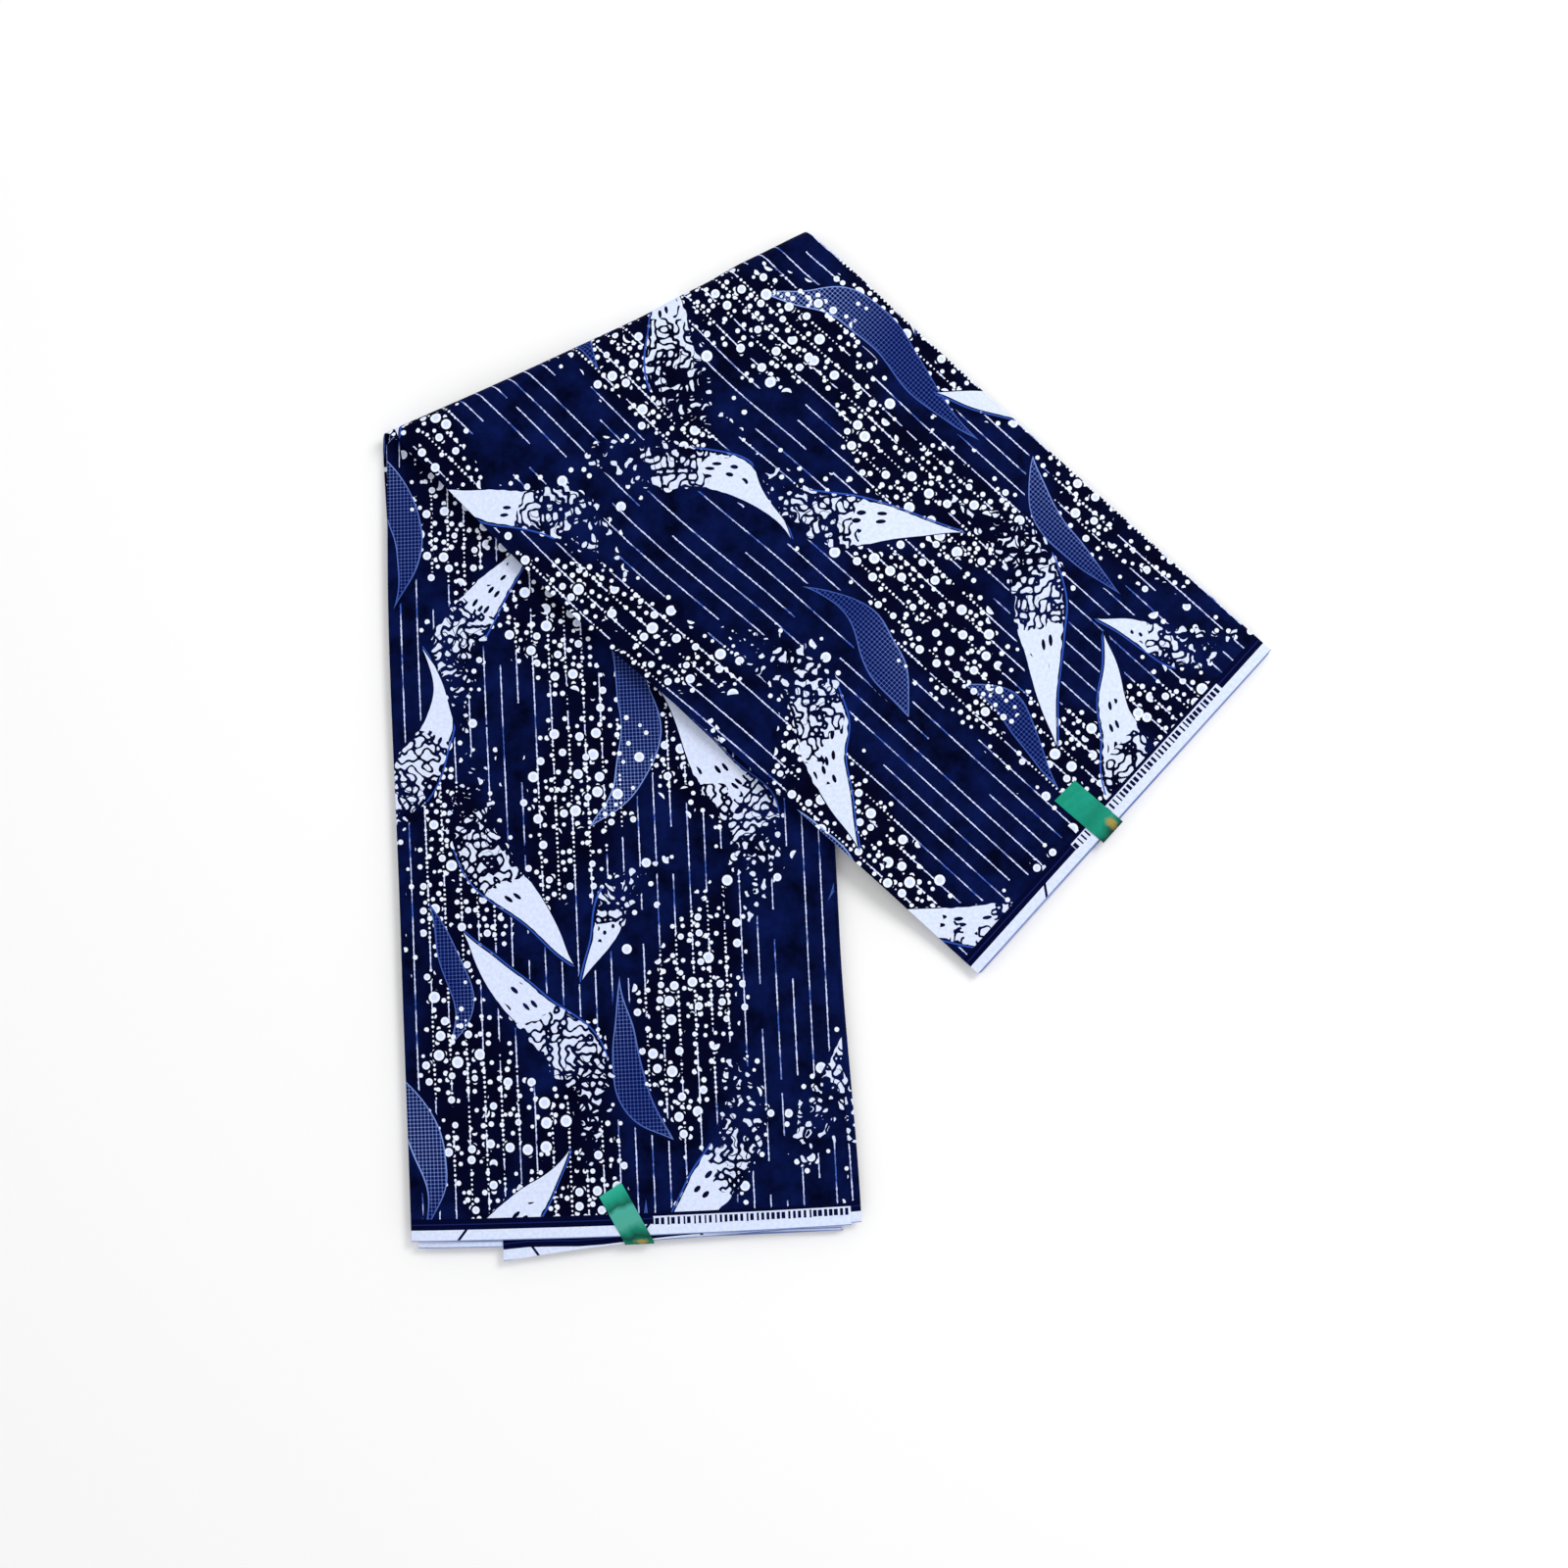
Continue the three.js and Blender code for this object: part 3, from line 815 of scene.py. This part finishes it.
net_pale = add_node(tree, MATH, {0: net_along, 1: -0.55, 2: noise["tones"]},
                    operation="MULTIPLY_ADD")
net_pale = add_node(tree, RANGE, {"Value": net_pale, 1: 0.08, 2: 0.8})
net_blue = add_node(tree, MIX, {0: net_pale, 6: linear("#405aa8"), 7: linear("#9db8fb")},
                    data_type="RGBA")
net_colour = add_node(tree, MIX, {0: net_line, 6: linear("#030e48"), 7: net_blue},
                      data_type="RGBA")
in_net = add_node(tree, MATH, {0: net_depth, 1: 0.0}, operation="GREATER_THAN")
inner_net = add_node(tree, MATH, {0: net_depth, 1: NET_RIM}, operation="GREATER_THAN")
net_rim = add_node(tree, MIX, {0: net_pale, 6: linear("#3c56a2"), 7: linear("#94b0f0")},
                   data_type="RGBA")
net_fill = add_node(tree, MIX, {0: inner_net, 6: net_rim, 7: net_colour}, data_type="RGBA")
colour = add_node(tree, MIX, {0: in_net, 6: colour, 7: net_fill}, data_type="RGBA")
print("net line", round(NET_PITCH * (1 - 2 * HALF_MESH), 2), "mm wide")

# %% [markdown]
# ### Dots and bubbles
#
# Drifts of dots lie round the leaves, where resin was spattered. A Voronoi texture scatters them:
# each cell has its own random size, and is kept only where the drift is dense enough. The larger
# bubbles have a pale blue heart, because the dye creeps under a large spot of resin.

# %% Where the dots are dense
NEAR_LEAF = 20

near_pale = add_node(tree, RANGE, {"Value": pale_depth, 1: -NEAR_LEAF, 2: 0, 3: 0, 4: 0.55})
to_base = add_node(tree, RANGE, {"Value": pale_along, 1: 0.75, 2: 0.2})
round_base = add_node(tree, MATH, {0: near_pale, 1: to_base}, operation="MULTIPLY")
density = add_node(tree, MATH, {0: in_drift, 1: round_base}, operation="MAXIMUM")
patchy = add_node(tree, RANGE, {"Value": noise["patches"], 1: 0.34, 2: 0.6, 3: 0.42, 4: 1.0})
outside = add_node(tree, MATH, {0: pale_depth, 1: -0.8}, operation="LESS_THAN")
net_closed = add_node(tree, RANGE, {"Value": net_along, 1: 0.25, 2: 0.5})
net_closed = add_node(tree, MATH, {0: net_closed, 1: in_net}, operation="MULTIPLY")
room = add_node(tree, MATH, {0: outside, 1: net_closed}, operation="SUBTRACT", use_clamp=True)
density = all_of(density, patchy, room)
print("dots gather within", NEAR_LEAF, "mm of a pale leaf's base, and in the drifts")

# %% Dots and bubbles
# pitch of the cells in mm, their randomness, least and most radius in cells, share that is kept
DOTS = {"large": (15, 0.8, 0.14, 0.265, 0.95), "small": (6.3, 0.75, 0.19, 0.3, 0.84)}
HEART_SHARE, HALO_WIDE = 0.55, 0.1


def disc(away, radius, kept):
    inside = add_node(tree, MATH, {0: away, 1: radius}, operation="LESS_THAN")
    return add_node(tree, MATH, {0: inside, 1: kept}, operation="MULTIPLY")


dots = {}
for name, (pitch, randomness, least, most, share) in DOTS.items():
    cells = add_node(tree, CELLS, {"Vector": exact, "Scale": 1 / pitch, "Randomness": randomness},
                     voronoi_dimensions="2D").outputs
    lot = add_node(tree, "ShaderNodeSeparateColor", {0: cells["Color"]}).outputs
    radius = add_node(tree, RANGE, {"Value": lot[0], 3: least, 4: most})
    kept = add_node(tree, MATH, {0: density, 1: share}, operation="MULTIPLY")
    kept = add_node(tree, MATH, {0: lot[1], 1: kept}, operation="LESS_THAN")
    dots[name] = (cells["Distance"], radius, kept)
    print(name, "dots", round(2 * least * pitch, 1), "to", round(2 * most * pitch, 1), "mm")

away, radius, kept = dots["large"]
heart_radius = add_node(tree, MATH, {0: radius, 1: HEART_SHARE}, operation="MULTIPLY")
halo_radius = add_node(tree, MATH, {0: radius, 1: HALO_WIDE}, operation="ADD")
large_dot, heart, halo = (disc(away, each, kept) for each in (radius, heart_radius, halo_radius))
small_dot = disc(*dots["small"])

# %% Beads on the stripes
BEAD_PITCH, BEAD_LEAST, BEAD_MOST = 3.3, 0.5, 1.05

bead_step = add_node(tree, MATH, {0: at_width, 1: BEAD_PITCH}, operation="DIVIDE")
bead_cell = add_node(tree, MATH, {0: bead_step}, operation="FLOOR")
bead_off = add_node(tree, MATH, {0: bead_step}, operation="FRACT")
bead_off = add_node(tree, MATH, {0: bead_off, 1: 0.5}, operation="SUBTRACT")
bead_off = add_node(tree, MATH, {0: bead_off, 1: BEAD_PITCH}, operation="MULTIPLY")
bead_aside = add_node(tree, MATH, {0: stripe_away, 1: STRIPE_PITCH}, operation="MULTIPLY")
bead_place = add_node(tree, JOIN, {0: bead_aside, 1: bead_off})
bead_away = add_node(tree, VECTOR, {0: bead_place}, operation="LENGTH").outputs["Value"]
bead_seed = add_node(tree, JOIN, {0: stripe_cell, 1: bead_cell})
bead_lot = add_node(tree, "ShaderNodeTexWhiteNoise", {"Vector": bead_seed},
                    noise_dimensions="2D")
bead_radius = add_node(tree, RANGE, {"Value": bead_lot.outputs["Value"], 3: BEAD_LEAST,
                                     4: BEAD_MOST})
bead_kept = add_node(tree, MATH, {0: density, 1: 0.98}, operation="MULTIPLY")
bead_kept = add_node(tree, MATH, {0: fades, 1: bead_kept}, operation="LESS_THAN")
bead = disc(bead_away, bead_radius, bead_kept)

dotted = large_dot
for dot in (small_dot, bead):
    dot = add_node(tree, MATH, {0: dot, 1: halo}, operation="SUBTRACT", use_clamp=True)
    dotted = add_node(tree, MATH, {0: dotted, 1: dot}, operation="MAXIMUM")
colour = add_node(tree, MIX, {0: dotted, 6: colour, 7: linear("#e4ebfd")}, data_type="RGBA")
colour = add_node(tree, MIX, {0: heart, 6: colour, 7: linear("#ccd8f6")}, data_type="RGBA")
print("beads", 2 * BEAD_LEAST, "to", 2 * BEAD_MOST, "mm across, a place every", BEAD_PITCH, "mm")

# %% [markdown]
# ### Pale leaves
#
# The pale leaves are bare cotton with a few short dark strokes. Towards their base the resin has
# cracked, so they fall apart into rounded worm-like pieces and then into dots. The cracks are the
# places where a smooth noise passes its middle value, which gives curved gaps of 1 mm or so.

# %% Cracks in the pale leaves
whole_leaf = add_node(tree, MATH, {0: noise["patches"], 1: 0.5, 2: pale_along},
                      operation="MULTIPLY_ADD")
whole_leaf = add_node(tree, RANGE, {"Value": whole_leaf, 1: 0.36, 2: 1.08})
cross_place = add_node(tree, VECTOR, {0: exact, 1: (1, 1, 0), 2: (31, 57, 0)},
                       operation="MULTIPLY_ADD")
cross_cracks = add_node(tree, NOISE, {"Vector": cross_place, "Scale": 0.12, "Detail": 0},
                        noise_dimensions="2D")

# noise, how whole the leaf is where its cracks are finest, and how wide they are at the leaf's base
# and there, as a part of the noise's range
CRACKS = ((noise["cracks"], 0.62, 0.2, 0.1), (cross_cracks, 0.5, 0.1, 0.0))
sides, firm_parts = [], []
for cracks, finest_at, at_base, finest in CRACKS:
    side = add_node(tree, MATH, {0: cracks, 1: 0.5}, operation="SUBTRACT")
    off_crack = add_node(tree, MATH, {0: side}, operation="ABSOLUTE")
    gap = add_node(tree, RANGE, {"Value": whole_leaf, 1: 0.0, 2: finest_at, 3: at_base, 4: finest})
    firm_parts.append(add_node(tree, MATH, {0: off_crack, 1: gap}, operation="GREATER_THAN"))
    sides.append(side)
print(len(CRACKS), "sets of cracks")

# %% Pale leaves
WHOLE_TIP = 0.64

plain_tip = add_node(tree, MATH, {0: whole_leaf, 1: WHOLE_TIP}, operation="GREATER_THAN")
uncracked = add_node(tree, MATH, {0: firm_parts[0], 1: plain_tip}, operation="MAXIMUM")
ragged = add_node(tree, MATH, {0: 1.0, 1: whole_leaf}, operation="SUBTRACT")
ragged = add_node(tree, MATH, {0: ragged, 1: 2.0}, operation="POWER")
ragged = add_node(tree, MATH, {0: ragged, 1: sides[0]}, operation="MULTIPLY")
ragged = add_node(tree, MATH, {0: ragged, 1: 24, 2: pale_depth}, operation="MULTIPLY_ADD")
in_pale = add_node(tree, MATH, {0: ragged, 1: 0.0}, operation="GREATER_THAN")
pale_white = all_of(in_pale, uncracked, firm_parts[1])
print("long cracks stop where a leaf is", WHOLE_TIP, "whole")

# %% Short dark strokes in the leaves
STROKES_DOWN_LEAF, STROKES_PER_MM = 13, 0.16
STROKE_RADIUS, OFF_EDGE = 0.23, 3.0

stroke_along = add_node(tree, MATH, {0: pale_along, 1: STROKES_DOWN_LEAF}, operation="MULTIPLY")
stroke_aside = add_node(tree, MATH, {0: pale_aside, 1: STROKES_PER_MM}, operation="MULTIPLY")
stroke_place = add_node(tree, JOIN, {0: stroke_along, 1: stroke_aside})
strokes = add_node(tree, CELLS, {"Vector": stroke_place, "Scale": 1, "Randomness": 0.6},
                   voronoi_dimensions="2D").outputs
stroke_lot = add_node(tree, "ShaderNodeSeparateColor", {0: strokes["Color"]})
stroke_share = add_node(tree, RANGE, {"Value": whole_leaf, 1: WHOLE_TIP, 2: 1.0, 3: 1.0, 4: 0.0})
stroke_kept = add_node(tree, MATH, {0: stroke_lot.outputs[1], 1: stroke_share},
                       operation="LESS_THAN")
off_edge = add_node(tree, MATH, {0: pale_depth, 1: OFF_EDGE}, operation="GREATER_THAN")
veined = all_of(disc(strokes["Distance"], STROKE_RADIUS, stroke_kept), plain_tip, off_edge)
pale_white = add_node(tree, MATH, {0: pale_white, 1: veined}, operation="SUBTRACT",
                      use_clamp=True)
pale_colour = add_node(tree, MIX, {0: noise["fibres"], 6: linear("#bfcdf0"), 7: linear("#e4ebfb")},
                       data_type="RGBA")
in_dark = add_node(tree, MIX, {0: in_pale, 6: colour, 7: ground}, data_type="RGBA")
colour = add_node(tree, MIX, {0: pale_white, 6: in_dark, 7: pale_colour}, data_type="RGBA")
print("strokes up to", round(2 * STROKE_RADIUS / STROKES_PER_MM, 1), "mm wide")

# %% Blue line along one side of each pale leaf
LINE_FADE, LINE_FROM, LINE_TO = 2.3, 1.9, 1.0

edge_out = add_node(tree, RANGE, {"Value": pale_depth, 1: -LINE_FADE, 2: -LINE_FROM})
edge_in = add_node(tree, MATH, {0: pale_depth, 1: -LINE_TO}, operation="LESS_THAN")
one_side = add_node(tree, MATH, {0: pale_aside, 1: 0.0}, operation="GREATER_THAN")
firm = add_node(tree, MATH, {0: whole_leaf, 1: 0.4}, operation="GREATER_THAN")
outlined = all_of(edge_out, edge_in, one_side, firm)
colour = add_node(tree, MIX, {0: outlined, 6: colour, 7: linear("#2d4fae")}, data_type="RGBA")
print("blue line", round(LINE_FROM - LINE_TO, 1), "mm wide,", LINE_TO, "mm off the leaf")

# %% [markdown]
# ### Selvedges
#
# Both woven edges of the cloth stay white for 7.5 mm. Next to that runs a plain dark band with a
# faint lighter line. Short slanted ticks cross the white, as marks where the rollers meet, and a row
# of plain dashes stands in part of it. The last threads are painted blue-grey: painted shade along
# each layer's hem, where the layers of the stack shade one another.

# %% White edge and dark band
WHITE_EDGE, DASH_EDGE, DARK_EDGE, HEM_SHADE_WIDE = 7.5, 12.7, 15.0, 0.6
BAND_LINE, HALF_BAND_LINE = 11.2, 0.35

# start along the cloth, repeat, and share of the repeat that it fills
DASH_RUN = (250, 452, 0.34)
TICK_RUN = (27, 128.25, 0.018)


def on_run(at, start, repeat, share):
    for operation, number in (("SUBTRACT", start), ("DIVIDE", repeat), ("FRACT", 0),
                              ("LESS_THAN", share)):
        at = add_node(tree, MATH, {0: at, 1: number}, operation=operation)
    return at


far = add_node(tree, MATH, {0: STRIP_LENGTH, 1: at_width}, operation="SUBTRACT")
from_edge = add_node(tree, MATH, {0: at_width, 1: far}, operation="MINIMUM")
on_band = add_node(tree, MATH, {0: from_edge, 1: DARK_EDGE}, operation="LESS_THAN")
band_line = add_node(tree, MATH, {0: from_edge, 1: BAND_LINE, 2: HALF_BAND_LINE},
                     operation="COMPARE")
band_colour = add_node(tree, MIX, {0: band_line, 6: linear("#02062a"), 7: linear("#14205c")},
                       data_type="RGBA")
colour = add_node(tree, MIX, {0: on_band, 6: colour, 7: band_colour}, data_type="RGBA")
dash_run = on_run(at_length, *DASH_RUN)
white_to = add_node(tree, RANGE, {"Value": dash_run, 3: WHITE_EDGE, 4: DASH_EDGE})
on_white = add_node(tree, MATH, {0: from_edge, 1: white_to}, operation="LESS_THAN")
print("white for", WHITE_EDGE, "mm, and", DASH_EDGE, "mm where dashes stand")

# %% Ticks and dashes
DASH_PITCH, DASH_ROW, TICK_SLANT = 3.7, 9.3, 0.8

tick = add_node(tree, MATH, {0: from_edge, 1: TICK_SLANT, 2: at_length},
                operation="MULTIPLY_ADD")
tick = on_run(tick, *TICK_RUN)
tick = add_node(tree, MATH, {0: tick, 1: dash_run}, operation="GREATER_THAN")
dash_step = add_node(tree, MATH, {0: at_length, 1: DASH_PITCH}, operation="DIVIDE")
dash_cell = add_node(tree, MATH, {0: dash_step}, operation="FLOOR")
dash_lot = add_node(tree, "ShaderNodeTexWhiteNoise", {"W": dash_cell},
                    noise_dimensions="1D").outputs["Value"]
dash_wide = add_node(tree, RANGE, {"Value": dash_lot, 3: 0.3, 4: 0.8})
dash_tall = add_node(tree, RANGE, {"Value": dash_lot, 3: 2.8, 4: 2.1})
dash_part = add_node(tree, MATH, {0: dash_step}, operation="FRACT")
dash_row = add_node(tree, MATH, {0: from_edge, 1: DASH_ROW, 2: dash_tall}, operation="COMPARE")
dash = add_node(tree, MATH, {0: dash_part, 1: dash_wide}, operation="LESS_THAN")
dash = all_of(dash, dash_row, dash_run)
edge_mark = add_node(tree, MATH, {0: tick, 1: dash}, operation="MAXIMUM")
white_edge = add_node(tree, MIX, {0: edge_mark, 6: pale_colour, 7: linear("#060b36")},
                      data_type="RGBA")
# painted shade: the last 0.6 mm of every hem is darkened as a line of shade between the stacked
# layers
hem_shade_line = add_node(tree, MATH, {0: from_edge, 1: HEM_SHADE_WIDE}, operation="LESS_THAN")
white_edge = add_node(tree, MIX, {0: hem_shade_line, 6: white_edge, 7: linear("#7688bf")},
                      data_type="RGBA")
colour = add_node(tree, MIX, {0: on_white, 6: colour, 7: white_edge}, data_type="RGBA")
print("dashes on", round(DASH_RUN[1] * DASH_RUN[2]), "mm of every", DASH_RUN[1], "mm")

# %% [markdown]
# ### Weave and finish
#
# The cotton has about 28 threads to the centimetre, which no render at this size can show, so the
# weave is drawn at 1.1 mm. Two crossed sine waves give its bump. The cloth is hard pressed, so it
# has a faint broad gloss: roughness about 0.6, and a low specular level, because dyed fibre is dark.

# %% Weave and finish
THREAD = 1.1

thread_place = add_node(tree, VECTOR, {0: exact, "Scale": 2 * math.pi / THREAD},
                        operation="SCALE")
threads = add_node(tree, VECTOR, {0: thread_place}, operation="SINE")
thread_parts = add_node(tree, SPLIT, {0: threads})
weave = add_node(tree, MATH, {0: thread_parts.outputs[0], 1: thread_parts.outputs[1]},
                 operation="MULTIPLY")
relief = add_node(tree, MATH, {0: weave, 1: 0.35, 2: noise["slubs"]}, operation="MULTIPLY_ADD")
bump = add_node(tree, "ShaderNodeBump", {"Height": relief, "Strength": 0.35, "Distance": 0.0003})
gloss = add_node(tree, RANGE, {"Value": noise["slubs"], 1: 0.3, 2: 0.7, 3: 0.56, 4: 0.7})
tree.links.new(colour.outputs[2], cotton.inputs["Base Color"])
tree.links.new(gloss.outputs[0], cotton.inputs["Roughness"])
tree.links.new(bump.outputs[0], cotton.inputs["Normal"])
cotton.inputs["Specular IOR Level"].default_value = 0.015
print("print made from", len(tree.nodes), "nodes")

# %% [markdown]
# ## Foil labels
#
# Each label is a thin green metallised film, stuck on the top layer and bent down over the hem. It
# is a narrow grid that follows the cloth's own fold function a little above the top layer, so it
# lies on the cloth wherever that dips. It is 0.12 mm thick and slightly creased.

# %% Label films
# in mm
FILM = {"thick": 0.12, "wide": 20.6, "lift": 0.5, "crease": 0.14, "bend": 1.3, "lip": 2.6}
FILM_ROWS, FILM_COLUMNS = 49, 21

# piece, its CAD node, leg, middle across the strip, slant, reach inward at the left and the
# right side, and how far it stands past the hem
LABELS = (
    ("left_hem_film", "hem_label_left", "left", 154.5, -0.51, 23.4, 32.7, 9.2),
    ("right_hem_film", "hem_label_right", "right", 131.6, -0.02, 40.8, 39.8, 3.6),
)


def film_points(leg, middle_across, slant, on_left, on_right, past, right, share):
    reach = on_left + (on_right - on_left) * right
    straight = reach + past
    quarter = FILM["bend"] * math.pi / 2
    travel = share * (straight + quarter + FILM["lip"] - FILM["bend"])
    turn = np.clip((travel - straight) / quarter, 0, 1) * math.pi / 2
    below = np.maximum(0, travel - straight - quarter)
    inward = reach - np.minimum(travel, straight) - FILM["bend"] * np.sin(turn)
    drop = FILM["bend"] * (1 - np.cos(turn)) + below
    creases = np.sin(travel * 0.42 + right * 1.7) + 0.6 * np.sin(travel * 0.93 - right * 3.1)
    lift = FILM["lift"] + FILM["crease"] * creases - drop
    at = middle_across + slant * np.maximum(inward, -past) + (right - 0.5) * FILM["wide"]
    if leg == "left":
        placed = settle(at, inward, STACK + lift)
        placed[:, 2] += looseness(at, inward, -1)
    else:
        placed = settle(at, STRIP_LENGTH - inward, -lift)
        placed[:, 2] += looseness(at, STRIP_LENGTH - inward, 1)
    return placed


# %% Bend the films over the hems
films = []
for name, node, *facts in LABELS:
    film, right, share = flat_cut(name, FILM_COLUMNS, FILM_ROWS, calc_uvs=True)
    film.data.uv_layers[0].name = "film"
    film_places = film_points(*facts, right, share) * MM + shift
    film.data.vertices.foreach_set("co", film_places.ravel())
    film.data.update()
    if facts[0] == "left":
        film.data.flip_normals()
    thicken(film, FILM["thick"])
    films.append(film)

# %% [markdown]
# The film is polyester with a thin layer of aluminium, lacquered green: a metal with the lacquer's
# colour, fairly smooth. A ramp along the film gives it bands of lighter and darker green: painted
# highlights, and painted shade that is darkest on the end bent over the hem. A worn gold blot
# without a shape stands near the hem.

# %% Film material
# place along the film, then colour: the lighter bands are painted highlights, the darker bands and
# the dark end are painted shade
LEFT_SHEEN_AND_SHADE_TONES = ((0.0, "#2fae96"), (0.14, "#1c9b82"), (0.29, "#05604f"), (0.36, "#46a998"),
              (0.6, "#4ba594"), (0.72, "#0f8068"), (0.82, "#01473a"), (0.9, "#067058"))
RIGHT_TONES_AND_END_SHADE = ((0.0, "#078a70"), (0.3, "#0c9179"), (0.55, "#067e68"), (0.75, "#088a70"),
               (0.84, "#05745d"), (0.92, "#033c30"))


def film_material(film, tones, blot_place, blot_stretch):
    foil, tree, shader = new_material("green_metallised_polyester_film")
    film_uv = add_node(tree, "ShaderNodeUVMap", uv_map="film")
    film_xy = add_node(tree, SPLIT, {0: film_uv})
    cloud = add_node(tree, NOISE, {"Vector": film_uv, "Scale": 2.5, "Detail": 3},
                     noise_dimensions="2D")
    band_at = add_node(tree, MATH, {0: cloud, 1: 0.16, 2: film_xy.outputs[1]},
                       operation="MULTIPLY_ADD")
    band_at = add_node(tree, MATH, {0: band_at, 1: 0.08}, operation="SUBTRACT")
    green = add_node(tree, "ShaderNodeValToRGB", {0: band_at})
    ramp = green.color_ramp
    ramp.elements[0].color = linear(tones[0][1])
    # painted shade: the ramp ends in a near black green on the end bent down over the hem
    ramp.elements[1].color = linear("#022a20")
    for at, tone in tones[1:]:
        ramp.elements.new(at).color = linear(tone)
    blot = add_node(tree, VECTOR, {0: film_uv, 1: blot_place}, operation="SUBTRACT")
    blot = add_node(tree, VECTOR, {0: blot, 1: blot_stretch}, operation="MULTIPLY")
    blot = add_node(tree, VECTOR, {0: blot}, operation="LENGTH").outputs["Value"]
    worn = add_node(tree, NOISE, {"Vector": film_uv, "Scale": 11, "Detail": 4},
                    noise_dimensions="2D")
    blot = add_node(tree, MATH, {0: worn, 1: 0.3, 2: blot}, operation="MULTIPLY_ADD")
    gilded = add_node(tree, RANGE, {"Value": blot, 1: 0.42, 2: 0.24, 3: 0.0, 4: 0.75})
    film_colour = add_node(tree, MIX, {0: gilded, 6: green, 7: linear("#b08f3c")},
                           data_type="RGBA")
    tree.links.new(film_colour.outputs[2], shader.inputs["Base Color"])
    film_gloss = add_node(tree, RANGE, {"Value": worn, 1: 0.3, 2: 0.7, 3: 0.28, 4: 0.42})
    tree.links.new(film_gloss.outputs[0], shader.inputs["Roughness"])
    shader.inputs["Metallic"].default_value = 0.35
    shader.inputs["Specular IOR Level"].default_value = 0.2
    film.data.materials.append(foil)


film_material(films[0], LEFT_SHEEN_AND_SHADE_TONES, (0.6, 0.9, 0), (1.0, 5.0, 0))
film_material(films[1], RIGHT_TONES_AND_END_SHADE, (0.7, 0.84, 0), (1.2, 2.2, 0))
print("films", [film.data.materials[0].name for film in films])

# %% [markdown]
# ## Riding, replacing and declaring
#
# Each piece rides on the part's one body and stands for its CAD node, which is hidden. The labels
# ride on the same body as the cloth.

# %% Riding and replacing
for piece, (name, node, *facts) in zip(films, LABELS):
    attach(piece, "root")
    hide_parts(node)
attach(cloth, "root")
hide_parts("cloth")
